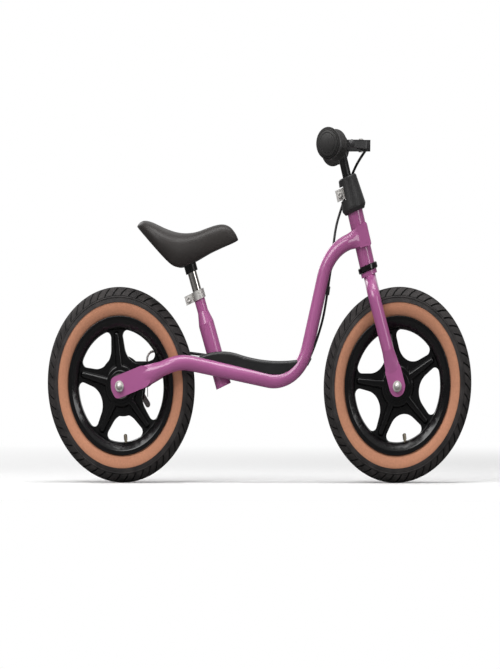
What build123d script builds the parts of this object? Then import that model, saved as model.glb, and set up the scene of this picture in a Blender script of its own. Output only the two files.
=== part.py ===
from build123d import *
from math import cos, radians, sin, sqrt, tan
import os

os.makedirs("parts", exist_ok=True)

# Balance bike with air tyres and a rear drum brake. Millimetres and degrees.
# X points forward, Y to the rider's left, Z up. The origin is on the ground, midway between the axles.

# Layout
wheelbase = 596.0
head_angle = 18.25
fork_offset = 5.5
seat_angle = 20.0
seat_tube_foot_x = -76.6
seat_tube_foot_z = 158.7
fit = 0.05
seat_gap = 0.2
body_gap = 0.3
weld_bite = 1.0
press_overlap = 3.0
edge_break = 1.5
press_shoulder = 0.9
bend_share = 0.45

# Tyre and wheel
tyre_diameter = 318.0
tyre_width = 54.0
tread_thickness = 2.5
tread_edge_rise = 3.0
casing_thickness = 2.2
bead_radius = 102.5
bead_half_width = 16.2
inner_tube_wall = 1.2
rim_flange_radius = 113.5
rim_flange_thickness = 4.0
rim_step_radius = 106.0
rim_barrel_half_width = 14.0
rim_well_radius = 98.5
rim_well_half_width = 9.0
rim_inner_radius = 91.5
spoke_count = 5
spoke_waist_width = 27.5
spoke_waist_radius = 68.0
spoke_flare = 6.0
window_inner_radius = 47.0
window_outer_fillet = 9.0
window_chamfer = 2.5
web_thickness = 13.0
rib_height = 6.0
rib_root_width = 19.0
rib_tip_width = 12.5
rib_tip_fillet = 5.5
rib_taper = 28.0
rib_reach = 89.0
rib_hub_radius = 36.0
front_spoke_angle = 30.0
rear_spoke_angle = 23.0
hub_radius = 24.0
front_hub_half_length = 30.0
rear_hub_right = 34.0
rear_hub_left = 16.0

# Axles and bearings
axle_radius = 4.75
axle_collar_radius = 8.0
bearing_radius = 13.0
bearing_width = 8.0
bearing_inset = 0.5
nut_width = 15.0
nut_height = 7.0
nut_flange_radius = 9.4
nut_flange_height = 2.0
nut_dome_height = 4.0
nut_dome_rim = 1.0
axle_reach = 7.0
dropout_thickness = 6.5

# Valves
valve_radius = 3.0
valve_length = 31.0
valve_cap_radius = 3.9
valve_cap_length = 10.0
valve_foot_height = 3.0

# Steering head, heights along the steering axis from the level of the axles
head_tube_radius = 16.0
head_tube_wall = 2.0
head_tube_length = 96.0
lower_bush_radius = 20.5
lower_bush_height = 10.0
lower_bush_base = 193.5
upper_bush_radius = 18.0
upper_bush_height = 5.0
bush_sleeve_length = 16.0
steerer_radius = 12.7
steerer_base = 172.0
steerer_plug = 6.0
crown_race_radius = 17.0
crown_race_height = 7.0

# Fork blades
blade_radius = 12.5
blade_spacing = 44.0
blade_crown_height = 178.0
blade_crown_offset = 6.0
blade_shoulder_height = 160.0
blade_shoulder_bend = 26.0
blade_flat_start = 62.0
blade_flat_end = 26.0
blade_flat_width = 34.0

# Stem clamp and cover
stem_radius = 9.0
clamp_wall = 2.8
stem_clamp_height = 18.0
stem_clamp_gap = 11.5
ear_length = 15.0
ear_thickness = 4.5
ear_slit = 2.4
clamp_bolt_radius = 2.6
clamp_bolt_head_radius = 4.6
clamp_bolt_head_height = 4.0
cover_base = 290.5
cover_base_radius = 20.5
cover_rim_rise = 10.0
cover_rim_radius = 25.0
cover_top = 347.5
cover_top_radius = 19.0
cover_wall = 2.2
cover_edge = 2.0
cover_notch_room = 2.0

# Handlebar and grips
stem_foot = 205.0
bar_height = 395.0
bar_radius = 9.5
bar_half_straight = 25.0
bar_bend = 60.0
bar_sweep = 7.0
grip_start = 86.0
grip_length = 122.0
grip_radius = 14.5
grip_collar_radius = 24.5
grip_collar_thickness = 6.0
grip_edge = 2.0
grip_neck = 4.0
knob_length = 24.0
knob_radius = 24.5
knob_step = 2.6
knob_step_slope = 1.2

# Brake lever, reaches measured forward of the bar
bracket_place = 76.0
bracket_width = 13.0
bracket_wall = 4.5
pivot_reach = 50.0
pivot_radius = 2.5
ear_height = 3.2
lever_height = 10.4
lever_root_radius = 7.0
lever_width = 11.0
lever_tip_radius = 6.5
lever_knee = (60.0, -24.0)
lever_tip = (34.0, -98.0)
cheek_width = 7.0
adjuster_reach = 64.0
adjuster_radius = 4.0
adjuster_length = 14.0
adjuster_shoulder = 1.0
cheek_margin = 2.0
pin_head_height = 1.5
bracket_bolt_share = 0.6

# Main tubes of the frame
tube_radius = 12.5
tube_head_height = 250.0
tube_head_spacing = 20.2
down_reach = 70.0
tube_flat_head_start = 26.0
tube_flat_head_end = 6.0
paddle_thickness = 8.0
paddle_root_width = 33.0
paddle_tip_width = 39.0
paddle_reach = 18.2
lower_corner = (86.0, 158.0)
rear_corner = (-167.0, 199.5)
rear_corner_spacing = 46.0
seat_pass_x = -99.0
dropout_spacing = 53.0
down_bend = 78.0
lower_bend = 75.0
spread_bend = 100.0
rear_bend = 90.0
bend_room = 0.97
arm_flat_start = 42.0
arm_flat_end = 85.0
arm_flat_width = 36.0
plate_tip = 16.5
plate_corner = 10.0

# Seat tube, clamp and post, heights along the seat tube from its foot
seat_tube_radius = 16.5
seat_tube_wall = 2.4
seat_tube_foot_wall = 1.8
foot_bore_length = 28.0
seat_tube_shoulder = 108.0
seat_tube_taper = 20.0
seat_tube_length = 163.0
seat_post_radius = 9.5
seat_tube_top_wall = 1.7
seat_clamp_height = 14.5
seat_post_foot = 40.0
seat_post_top = 204.0
saddle_bracket_radius = 13.0
saddle_bracket_base = 194.0

# Footboard
board_front = 84.0
board_rear = -128.0
board_half_width = 31.0
board_wall = 3.0
board_edge = 5.0
board_crest = -86.0
board_waist = -40.0
board_dip = 20.0
board_rear_rise = 13.9
board_crest_rise = 28.8
board_waist_rise = 30.8
board_dip_rise = 31.7
board_front_rise = 43.7
board_rear_skirt = -7.1
board_front_skirt = 17.7
boss_top_rise = 28.0
strap_places = (56.0, 2.0)
strap_width = 16.0
strap_thickness = 3.0
strap_rise = 9.6
screw_radius = 2.0
screw_head_radius = 3.6
screw_head_height = 2.2
screw_offset = -5.2
boss_radius = 4.5
screw_bite = 10.0
strap_overlap = 4.0

# Drum brake on the left of the rear wheel, depths measured to the left of the wheel's middle
drum_radius = 43.0
drum_wall = 3.5
drum_plate = 3.0
drum_depth = 19.0
drum_eye_radius = 12.0
plate_radius = 50.0
plate_gap = 1.0
plate_thickness = 3.0
brake_pin_offset = 31.0
anchor_pin_radius = 5.0
lining_gap = 1.5
shoe_rim = 4.0
shoe_inner_radius = 26.0
shoe_width = 12.0
shoe_web = 5.0
cam_half_height = 5.0
cam_half_length = 6.0
arm_thickness = 2.5
arm_width = 11.0
arm_tip = (54.0, -30.0)
anchor_bolt_radius = 2.0
anchor_head_radius = 4.0
anchor_head_height = 3.0
cable_stop_height = 38.5
stop_plate_foot = 14.5
stop_shelf_margin = 2.0
torque_bolt_reach = 43.0
torque_bolt_radius = 3.0
torque_spacer_radius = 5.0
torque_head_height = 4.0
spring_place = 18.0
spring_radius = 1.6
spring_half_length = 29.0
dust_ring_radius = 20.5
dust_ring_gap = 1.0
dust_ring_height = 3.0

# Brake cable
cable_radius = 2.5
wire_radius = 0.8
guide_pipe_radius = 2.2
guide_pipe_bend = 14.0
clip_radius = 4.6
clip_length = 14.0
clip_root = 14.0

# Points that the cable passes on its way from the lever to the brake's guide pipe
cable_from_lever = [(222.5, -14, 529.5), (212, 2, 519), (199, 17, 503)]
cable_past_head = [
    (186, 26, 478), (174.5, 26, 447), (162, 16, 417), (157, 3, 388), (153.5, 0, 356), (148, 0, 326),
]
cable_on_frame = [
    (143, 0, 298), (136.5, 0, 268), (126, 0, 240), (113, 0, 212), (97, 0, 188), (72, 1, 170),
    (38, 2, 166.5), (-2, 4, 171), (-36, 8.5, 182.5), (-62, 17, 199), (-92, 27, 205.5),
    (-126, 32, 210), (-164, 41.25, 213.3),
]
guide_pipe_start = (-190.0, 41.25, 214.0)


# Shared planes

def leaning(origin, angle):
    """A plane whose normal points up and leans back by an angle."""
    lean = radians(angle)
    return Plane(origin=origin, x_dir=(cos(lean), 0, sin(lean)), z_dir=(-sin(lean), 0, cos(lean)))


def profile_of(line):
    """The plane in which a turned piece is drawn as radius and height along a line's normal."""
    return Plane(origin=line.origin, x_dir=line.x_dir, z_dir=-line.y_dir)


def wheel_plane(hub):
    """The middle plane of a wheel, seen from the bike's right side, X forward and Y up."""
    return Plane(origin=hub, x_dir=(1, 0, 0), z_dir=(0, -1, 0))


def axis_of(line):
    return Axis(line.origin, line.z_dir)


def across(line, radius_out, height):
    """A plane through a point beside a line, square to the bike's length, for cross bolts."""
    return Plane(origin=line.from_local_coords((radius_out, 0, height)), x_dir=line.x_dir, z_dir=(0, -1, 0))


hub_height = tyre_diameter / 2
front_hub = Vector(wheelbase / 2, 0, hub_height)
rear_hub = Vector(-wheelbase / 2, 0, hub_height)
front_wheel = wheel_plane(front_hub)
rear_wheel = wheel_plane(rear_hub)
steer = leaning(front_hub - Vector(fork_offset / cos(radians(head_angle)), 0, 0), head_angle)
seat_line = leaning((seat_tube_foot_x, 0, seat_tube_foot_z), seat_angle)


def write(builder, name):
    builder.part.label = name
    export_step(builder.part, f"parts/{name}.step")


def write_turned(line, name, *outline):
    """A turned piece from the corners of its profile, each a radius and a height."""
    with BuildPart() as piece:
        with BuildSketch(profile_of(line)):
            with BuildLine():
                Polyline(*outline, close=True)
            make_face()
        revolve(axis=axis_of(line))
    write(piece, name)
    return piece.part


def tube_outline(outer, inner, base, top):
    return [(inner, base), (outer, base), (outer, top), (inner, top)]


def four_arcs(tip, crown, corner):
    """A closed section of two side arcs and two crowned faces."""
    x, y = corner
    ThreePointArc((x, -y), (tip, 0), (x, y))
    ThreePointArc((x, y), (0, crown), (-x, y))
    ThreePointArc((-x, y), (-tip, 0), (-x, -y))
    ThreePointArc((-x, -y), (0, -crown), (x, -y))


def press_flat(radius, round_end, width, thickness, flat_end):
    """The length over which a round tube is pressed to a flat one that ends inside a plate."""
    diagonal = radius * sqrt(0.5)
    half_width = width / 2 - 2 * seat_gap
    half_thickness = thickness / 2 - seat_gap
    with BuildPart() as length:
        with BuildSketch(round_end):
            with BuildLine():
                four_arcs(radius, radius, (diagonal, diagonal))
            make_face()
        with BuildSketch(flat_end):
            with BuildLine():
                four_arcs(half_width, half_thickness,
                          (half_width - half_thickness, half_thickness * press_shoulder))
            make_face()
        loft()
    return length.part


# Wheels: a tread on a thin casing, an inner tube, and a moulding with five ribbed spokes

section_radius = tyre_width / 2
section_centre = tyre_diameter / 2 - section_radius
casing_radius = section_radius - tread_thickness
liner_radius = casing_radius - casing_thickness
tube_section_radius = liner_radius - body_gap


def write_tread(line, name):
    edge = section_centre + tread_edge_rise
    outer = sqrt(section_radius**2 - tread_edge_rise**2)
    inner = sqrt(casing_radius**2 - tread_edge_rise**2)
    with BuildPart() as tread:
        with BuildSketch(profile_of(line)):
            with BuildLine():
                ThreePointArc((edge, outer), (section_centre + section_radius, 0), (edge, -outer))
                Line((edge, -outer), (edge, -inner))
                ThreePointArc((edge, -inner), (section_centre + casing_radius, 0), (edge, inner))
                Line((edge, inner), (edge, outer))
            make_face()
        revolve(axis=axis_of(line))
    write(tread, name)


def write_casing(line, name):
    outer = bead_half_width
    inner = bead_half_width - casing_thickness
    outer_foot = section_centre - sqrt(casing_radius**2 - outer**2)
    inner_foot = section_centre - sqrt(liner_radius**2 - inner**2)
    with BuildPart() as casing:
        with BuildSketch(profile_of(line)):
            with BuildLine():
                Polyline((outer_foot, outer), (bead_radius, outer), (bead_radius, inner),
                         (inner_foot, inner))
                ThreePointArc((inner_foot, inner), (section_centre + liner_radius, 0), (inner_foot, -inner))
                Polyline((inner_foot, -inner), (bead_radius, -inner), (bead_radius, -outer),
                         (outer_foot, -outer))
                ThreePointArc((outer_foot, -outer), (section_centre + casing_radius, 0), (outer_foot, outer))
            make_face()
        revolve(axis=axis_of(line))
    write(casing, name)


def write_inner_tube(line, name):
    with BuildPart() as tube:
        with BuildSketch(profile_of(line)):
            with Locations((section_centre, 0)):
                Circle(tube_section_radius)
                Circle(tube_section_radius - inner_tube_wall, mode=Mode.SUBTRACT)
        revolve(axis=axis_of(line))
    write(tube, name)


def window_outline(widening):
    """The rounded opening between two spokes, pointing along X from the wheel's centre."""
    spoke_turn = radians(180 / spoke_count)
    half_angle = spoke_turn + radians(spoke_flare)
    waist = spoke_waist_width / 2
    waist_x = spoke_waist_radius * cos(spoke_turn) + waist * sin(spoke_turn)
    waist_y = spoke_waist_radius * sin(spoke_turn) - waist * cos(spoke_turn)
    apex = waist_x - waist_y / tan(half_angle) - widening / sin(half_angle)
    inner_fillet = (window_inner_radius - widening - apex) / (1 / sin(half_angle) - 1)
    reach = 2 * rim_inner_radius
    spread = (reach - apex) * tan(half_angle)
    with BuildSketch() as window:
        with BuildLine():
            Polyline((apex, 0), (reach, spread), (reach, -spread), close=True)
        make_face()
        Circle(rim_inner_radius, mode=Mode.INTERSECT)
        fillet(window.vertices().sort_by(Axis.X)[0], inner_fillet)
        fillet(window.vertices().sort_by(Axis.X)[-2:], window_outer_fillet)
    return window.sketch


def rib_outline():
    """One raised rib, wide at the hub and narrow at the rim, pointing along X."""
    with BuildSketch() as rib:
        with BuildLine():
            Polyline((0, rib_root_width / 2), (0, -rib_root_width / 2), (rib_reach, -rib_tip_width / 2),
                     (rib_reach, rib_tip_width / 2), close=True)
        make_face()
        fillet(rib.vertices().sort_by(Axis.X)[-2:], rib_tip_fillet)
    return rib.sketch


def turned_round(plane):
    """The same plane of a wheel, facing the bike's left side."""
    return Plane(origin=plane.origin, x_dir=(1, 0, 0), z_dir=(0, 1, 0))


def write_moulding(line, name, spoke_angle, valve_angle, hub_right, hub_left):
    flange_inner = bead_half_width + seat_gap
    flange_outer = flange_inner + rim_flange_thickness
    web = web_thickness / 2
    seat = bead_radius - seat_gap
    pocket = bearing_width + bearing_inset
    window_angle = spoke_angle + 180 / spoke_count
    right_face = line.offset(web)
    left_face = line.offset(-web)
    rib = rib_outline()
    with BuildPart() as moulding:
        with BuildSketch(profile_of(line)):
            with BuildLine():
                Polyline((rim_flange_radius, flange_outer), (rim_step_radius, flange_outer),
                         (rim_well_radius - rim_flange_thickness, rim_barrel_half_width),
                         (rim_inner_radius, web), (hub_radius / 2, web), (hub_radius / 2, -web),
                         (rim_inner_radius, -web),
                         (rim_well_radius - rim_flange_thickness, -rim_barrel_half_width),
                         (rim_step_radius, -flange_outer), (rim_flange_radius, -flange_outer),
                         (rim_flange_radius, -flange_inner), (seat, -flange_inner),
                         (rim_well_radius, -rim_well_half_width), (rim_well_radius, rim_well_half_width),
                         (seat, flange_inner), (rim_flange_radius, flange_inner), close=True)
            make_face()
        revolve(axis=axis_of(line))
        with BuildSketch(left_face):
            with PolarLocations(0, spoke_count, start_angle=window_angle):
                add(window_outline(0))
        extrude(amount=web_thickness, mode=Mode.SUBTRACT)
        for face, turn in ((left_face, window_angle), (turned_round(right_face), -window_angle)):
            with BuildSketch(face):
                with PolarLocations(0, spoke_count, start_angle=turn):
                    add(window_outline(window_chamfer))
            extrude(amount=window_chamfer + seat_gap, taper=45, mode=Mode.SUBTRACT)
        for face, turn in ((right_face, spoke_angle), (turned_round(left_face), -spoke_angle)):
            with BuildSketch(face):
                Circle(rib_hub_radius)
                with PolarLocations(0, spoke_count, start_angle=turn):
                    add(rib)
            extrude(amount=rib_height, taper=rib_taper)
        with BuildSketch(line.offset(-hub_left)):
            Circle(hub_radius)
        extrude(amount=hub_right + hub_left)
        with BuildSketch(line.offset(-hub_left)):
            Circle(bearing_radius - bearing_width / 2)
        extrude(amount=hub_right + hub_left, mode=Mode.SUBTRACT)
        with BuildSketch(line.offset(hub_right)):
            Circle(bearing_radius)
        extrude(amount=-pocket, mode=Mode.SUBTRACT)
        with BuildSketch(line.offset(-hub_left)):
            Circle(bearing_radius)
        extrude(amount=pocket, mode=Mode.SUBTRACT)
        with BuildSketch(valve_plane(line, valve_angle)):
            Circle(valve_radius + fit)
        extrude(amount=rim_well_radius + valve_length, mode=Mode.SUBTRACT)
    write(moulding, name)


def valve_plane(line, angle):
    """A plane on a valve's axis, at the inner tube, facing the hub."""
    out = Vector(cos(radians(angle)), 0, sin(radians(angle)))
    place = line.origin + out * (section_centre - tube_section_radius - seat_gap)
    return Plane(origin=place, x_dir=(0, 1, 0), z_dir=-out)


def write_bearings(line, name, hub_right, hub_left):
    with BuildPart() as bearings:
        for start in (hub_right - bearing_inset - bearing_width, -hub_left + bearing_inset):
            with BuildSketch(line.offset(start)):
                Circle(bearing_radius)
                Circle(axle_radius + fit, mode=Mode.SUBTRACT)
            extrude(amount=bearing_width)
    write(bearings, name)


def write_valve(line, name, angle):
    foot = valve_radius + edge_break
    cap = valve_length - valve_cap_length
    write_turned(valve_plane(line, angle), name, (0, 0), (foot, 0), (foot, valve_foot_height / 2),
                 (valve_radius, valve_foot_height), (valve_radius, cap), (valve_cap_radius, cap),
                 (valve_cap_radius, valve_length - edge_break),
                 (valve_cap_radius - edge_break, valve_length), (0, valve_length))


def write_axle(line, name, right_face, left_face, hub_right, hub_left, plate=None):
    """A threaded axle with the collars that space the wheel between the dropouts."""
    right = right_face + dropout_thickness + axle_reach
    left = left_face + dropout_thickness + axle_reach
    right_bearing = hub_right - bearing_inset + body_gap
    left_bearing = hub_left - bearing_inset + body_gap
    collars = [(right_bearing, right_face), (-left_face, -left_bearing)]
    if plate:
        collars[1:] = [(-left_face, -plate[1]), (-plate[0], -left_bearing)]
    with BuildPart() as axle:
        with BuildSketch(line.offset(-left)):
            Circle(axle_radius)
        extrude(amount=right + left)
        for low, high in collars:
            with BuildSketch(line.offset(low)):
                Circle(axle_collar_radius)
            extrude(amount=high - low)
    write(axle, name)


def write_nuts(line, name, right_face, left_face):
    """Flanged cap nuts on both ends of an axle."""
    right_plane = line.offset(right_face + dropout_thickness)
    left_origin = line.offset(-left_face - dropout_thickness).origin
    left_plane = Plane(origin=left_origin, x_dir=(1, 0, 0), z_dir=(0, 1, 0))
    hex_top = nut_flange_height + nut_height
    dome = nut_width / 2 - nut_dome_rim
    dome_foot = hex_top - nut_dome_rim
    with BuildPart() as nuts:
        for plane in (right_plane, left_plane):
            with BuildSketch(plane):
                Circle(nut_flange_radius)
            extrude(amount=nut_flange_height)
            with BuildSketch(plane):
                RegularPolygon(nut_width / 2, 6, major_radius=False)
            extrude(amount=hex_top)
            with BuildSketch(profile_of(plane)):
                with BuildLine():
                    Polyline((0, dome_foot), (dome, dome_foot), (dome, hex_top))
                    TangentArc((0, hex_top + nut_dome_height), (dome, hex_top), tangent=(1, 0))
                    Line((0, hex_top + nut_dome_height), (0, dome_foot))
                make_face()
            revolve(axis=axis_of(plane))
            with BuildSketch(plane):
                Circle(axle_radius)
            extrude(amount=axle_reach, mode=Mode.SUBTRACT)
    write(nuts, name)


fork_face = blade_spacing - dropout_thickness / 2
frame_face = dropout_spacing - dropout_thickness / 2
drum_near = rear_hub_left
drum_far = drum_near + drum_depth
plate_near = drum_far + plate_gap
plate_far = plate_near + plate_thickness

for name, line, spoke_angle, hub_right, hub_left in (
    ("front", front_wheel, front_spoke_angle, front_hub_half_length, front_hub_half_length),
    ("rear", rear_wheel, rear_spoke_angle, rear_hub_right, rear_hub_left),
):
    valve_angle = spoke_angle + 3.5 * 360 / spoke_count
    write_tread(line, f"{name}_tread")
    write_casing(line, f"{name}_tyre_casing")
    write_inner_tube(line, f"{name}_inner_tube")
    write_moulding(line, f"{name}_wheel_moulding", spoke_angle, valve_angle, hub_right, hub_left)
    write_bearings(line, f"{name}_wheel_bearings", hub_right, hub_left)
    write_valve(line, f"{name}_valve", valve_angle)

write_axle(front_wheel, "front_axle", fork_face, fork_face,
           front_hub_half_length, front_hub_half_length)
write_axle(rear_wheel, "rear_axle", frame_face, frame_face,
           rear_hub_right, rear_hub_left, (plate_near, plate_far))
write_nuts(front_wheel, "front_axle_nuts", fork_face, fork_face)
write_nuts(rear_wheel, "rear_axle_nuts", frame_face, frame_face)
write_turned(rear_wheel, "rear_dust_ring",
             *tube_outline(dust_ring_radius, axle_collar_radius + dust_ring_gap, rear_hub_right,
                           rear_hub_right + dust_ring_height))


# Steering head: tube with a bush at each end, and the fork's steerer running in them

lower_bush_top = lower_bush_base + lower_bush_height
head_top = lower_bush_top + head_tube_length
head_bore = head_tube_radius - head_tube_wall
bush_bore = steerer_radius + fit

write_turned(steer, "head_tube", *tube_outline(head_tube_radius, head_bore, lower_bush_top, head_top))
lower_sleeve = lower_bush_top + bush_sleeve_length
upper_sleeve = head_top - bush_sleeve_length
upper_bush_top = head_top + upper_bush_height
write_turned(steer, "lower_head_bush", (bush_bore, lower_bush_base),
             (lower_bush_radius - edge_break, lower_bush_base),
             (lower_bush_radius, lower_bush_base + edge_break),
             (lower_bush_radius, lower_bush_top - edge_break),
             (lower_bush_radius - edge_break, lower_bush_top), (head_bore, lower_bush_top),
             (head_bore, lower_sleeve), (bush_bore, lower_sleeve))
write_turned(steer, "upper_head_bush", (bush_bore, upper_sleeve), (head_bore, upper_sleeve),
             (head_bore, head_top), (upper_bush_radius, head_top), (upper_bush_radius, upper_bush_top),
             (bush_bore, upper_bush_top))

clamp_base = upper_bush_top + stem_clamp_gap
clamp_top = clamp_base + stem_clamp_height
race_top = lower_bush_base - body_gap
race_base = race_top - crown_race_height
steerer_bore = stem_radius + body_gap

plug_top = steerer_base + steerer_plug
write_turned(steer, "fork_steerer", (0, steerer_base), (steerer_radius, steerer_base),
             (steerer_radius, race_base), (crown_race_radius, race_base), (crown_race_radius, race_top),
             (steerer_radius, race_top), (steerer_radius, clamp_top), (steerer_bore, clamp_top),
             (steerer_bore, plug_top), (0, plug_top))


def write_blade(side, name):
    """A fork blade bent out from the crown and pressed flat round the front axle."""
    crown = steer.from_local_coords((0, side * blade_crown_offset, blade_crown_height))
    shoulder = steer.from_local_coords((0, side * blade_spacing, blade_shoulder_height))
    axle = front_hub + Vector(0, side * blade_spacing, 0)
    down = (axle - shoulder).normalized()
    width_dir = down.cross(Vector(0, 1, 0))
    flat_start = axle - down * blade_flat_start
    flat_end = axle - down * blade_flat_end
    with BuildPart() as blade:
        with BuildLine() as route:
            FilletPolyline(crown, shoulder, flat_start, radius=blade_shoulder_bend)
        with BuildSketch(Plane(origin=route.line @ 0, z_dir=route.line % 0)):
            Circle(blade_radius)
        sweep(path=route.line)
        add(press_flat(blade_radius, Plane(origin=flat_start, x_dir=width_dir, z_dir=down),
                       blade_flat_width, dropout_thickness,
                       Plane(origin=flat_end + down * press_overlap, x_dir=width_dir, z_dir=down)))
        far_face = axle + Vector(0, dropout_thickness / 2, 0)
        with BuildSketch(Plane(origin=far_face, x_dir=down, z_dir=(0, 1, 0))):
            with Locations((-blade_flat_end / 2, 0)):
                SlotCenterToCenter(blade_flat_end, blade_flat_width)
        extrude(amount=-dropout_thickness)
        with BuildSketch(Plane(origin=axle + Vector(0, dropout_thickness, 0), z_dir=(0, 1, 0))):
            Circle(axle_radius + fit)
        extrude(amount=-2 * dropout_thickness, mode=Mode.SUBTRACT)
        with BuildSketch(steer.offset(steerer_base - blade_radius)):
            Circle(steerer_radius)
        extrude(amount=3 * blade_radius, mode=Mode.SUBTRACT)
        with BuildSketch(steer.offset(race_base)):
            Circle(crown_race_radius)
        extrude(amount=2 * blade_radius, mode=Mode.SUBTRACT)
    write(blade, name)


write_blade(-1, "right_fork_blade")
write_blade(1, "left_fork_blade")


# Clamp collars with two ears behind, pulled together by a cross bolt

def write_clamp(line, name, tube, base, height):
    outer = tube + clamp_wall
    ear_end = outer + ear_length
    with BuildPart() as clamp:
        with BuildSketch(line.offset(base)):
            Circle(outer)
            with Locations((-ear_end / 2, 0)):
                Rectangle(ear_end, 2 * ear_thickness + ear_slit)
            Circle(tube, mode=Mode.SUBTRACT)
            with Locations((-ear_end / 2 - edge_break, 0)):
                Rectangle(ear_end, ear_slit, mode=Mode.SUBTRACT)
        extrude(amount=height)
        with BuildSketch(across(line, -outer - ear_length / 2, base + height / 2)):
            Circle(clamp_bolt_radius)
        extrude(amount=ear_end, both=True, mode=Mode.SUBTRACT)
    write(clamp, name)


def write_clamp_bolt(line, name, tube, base, height):
    half = ear_thickness + ear_slit / 2
    end = half + clamp_bolt_head_height
    place = across(line, -tube - clamp_wall - ear_length / 2, base + height / 2)
    write_turned(place, name, (0, -end), (clamp_bolt_head_radius, -end), (clamp_bolt_head_radius, -half),
                 (clamp_bolt_radius, -half), (clamp_bolt_radius, half), (clamp_bolt_head_radius, half),
                 (clamp_bolt_head_radius, end), (0, end))


write_clamp(steer, "stem_clamp", steerer_radius, clamp_base, stem_clamp_height)
write_clamp_bolt(steer, "stem_clamp_bolt", steerer_radius, clamp_base, stem_clamp_height)

cover_rim = cover_base + cover_rim_rise
cover_rim_foot = cover_rim - cover_rim_rise / 3
cover_eye = stem_radius + body_gap
cover_inside = cover_rim_radius - cover_wall
with BuildPart() as stem_cover:
    with BuildSketch(profile_of(steer)):
        with BuildLine():
            Polyline((cover_base_radius - cover_wall, cover_base), (cover_base_radius, cover_base),
                     (cover_rim_radius, cover_rim_foot), (cover_rim_radius, cover_rim),
                     (cover_top_radius, cover_top - cover_edge), (cover_top_radius - cover_edge, cover_top),
                     (cover_eye, cover_top), (cover_eye, clamp_top),
                     (steerer_radius + clamp_wall + seat_gap, clamp_top),
                     (cover_inside, cover_rim), (cover_inside, cover_rim_foot), close=True)
        make_face()
    revolve(axis=axis_of(steer))
    with BuildSketch(steer.offset(clamp_base - cover_notch_room)):
        with Locations((-cover_rim_radius, 0)):
            Rectangle(cover_rim_radius, 2 * cover_rim_radius)
    extrude(amount=stem_clamp_height + 2 * cover_notch_room, mode=Mode.SUBTRACT)
write(stem_cover, "stem_cover")


# Handlebar: a stem with a swept bar welded across its top, and mushroom-ended grips

sweep_slope = tan(radians(bar_sweep))
sweep_cos = cos(radians(bar_sweep))
sweep_sin = sin(radians(bar_sweep))
bar_middle = steer.from_local_coords((0, 0, bar_height))
bar_end = grip_start + (grip_length - knob_length / 2) * sweep_cos


def bar_point(side, out):
    """A point on the bar's centre line, at a distance to the left or right of the stem."""
    back = (out - bar_half_straight) * sweep_slope
    return bar_middle + Vector(-back, side * out, 0)


with BuildPart() as handlebar:
    with BuildLine() as bar_route:
        FilletPolyline(bar_point(-1, bar_end), bar_point(-1, bar_half_straight),
                       bar_point(1, bar_half_straight), bar_point(1, bar_end), radius=bar_bend)
    with BuildSketch(Plane(origin=bar_route.line @ 0, z_dir=bar_route.line % 0)):
        Circle(bar_radius)
    sweep(path=bar_route.line)
    with BuildSketch(steer.offset(stem_foot)):
        Circle(stem_radius)
    extrude(amount=bar_height - stem_foot)
write(handlebar, "handlebar")


def write_grip(side, name):
    """A grip turned as one profile: collar, handle, stepped mushroom end and a blind bore."""
    line = Plane(origin=bar_point(side, grip_start), z_dir=(-sweep_sin, side * sweep_cos, 0))
    knob_base = grip_length - knob_length
    blind_end = grip_length - knob_length / 2
    step_height = knob_length / 6
    collar_inner = grip_collar_radius - grip_edge
    profile = [(bar_radius, 0), (collar_inner, 0), (grip_collar_radius, grip_edge),
               (grip_collar_radius, grip_collar_thickness - grip_edge),
               (collar_inner, grip_collar_thickness), (grip_radius, grip_collar_thickness + grip_neck),
               (grip_radius, knob_base - grip_neck),
               (knob_radius - grip_edge, knob_base), (knob_radius, knob_base + grip_edge)]
    for step in range(2):
        ring = knob_radius - step * knob_step
        height = knob_base + (step + 2) * step_height
        profile += [(ring, height), (ring - knob_step, height + knob_step_slope)]
    last = (knob_radius - 2 * knob_step, knob_base + 4 * step_height)
    with BuildPart() as grip:
        with BuildSketch(profile_of(line)):
            with BuildLine():
                Polyline(*profile, last)
                TangentArc((0, grip_length), last, tangent=(1, 0))
                Polyline((0, grip_length), (0, blind_end), (bar_radius, blind_end), (bar_radius, 0))
            make_face()
        revolve(axis=axis_of(line))
    write(grip, name)


write_grip(-1, "right_grip")
write_grip(1, "left_grip")


# Brake lever on the right of the bar: bracket, bolt, pivot pin, cable adjuster and blade

bracket_middle = bar_point(-1, bracket_place)
bracket_ring = bar_radius + bracket_wall
bar_line = Plane(origin=bracket_middle, x_dir=(sweep_cos, -sweep_sin, 0), z_dir=(-sweep_sin, -sweep_cos, 0))
level = Plane(origin=bracket_middle)
lever_room = lever_height / 2 + body_gap
bracket_half_height = lever_room + ear_height
cheek_start = lever_root_radius + cheek_margin
cheek_end = adjuster_reach + adjuster_radius + cheek_margin
adjuster_line = Plane(origin=bracket_middle + Vector(adjuster_reach, cheek_start + cheek_width, 0),
                      z_dir=(0, 1, 0))
bolt_line = Plane(origin=bracket_middle - Vector(bar_radius + clamp_bolt_radius + 2 * seat_gap, 0, 0))
bolt_half = bracket_ring * bracket_bolt_share
slot_reach = 1.5 * pivot_reach - lever_root_radius - 2 * body_gap
thread_radius = adjuster_radius - adjuster_shoulder

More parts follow.
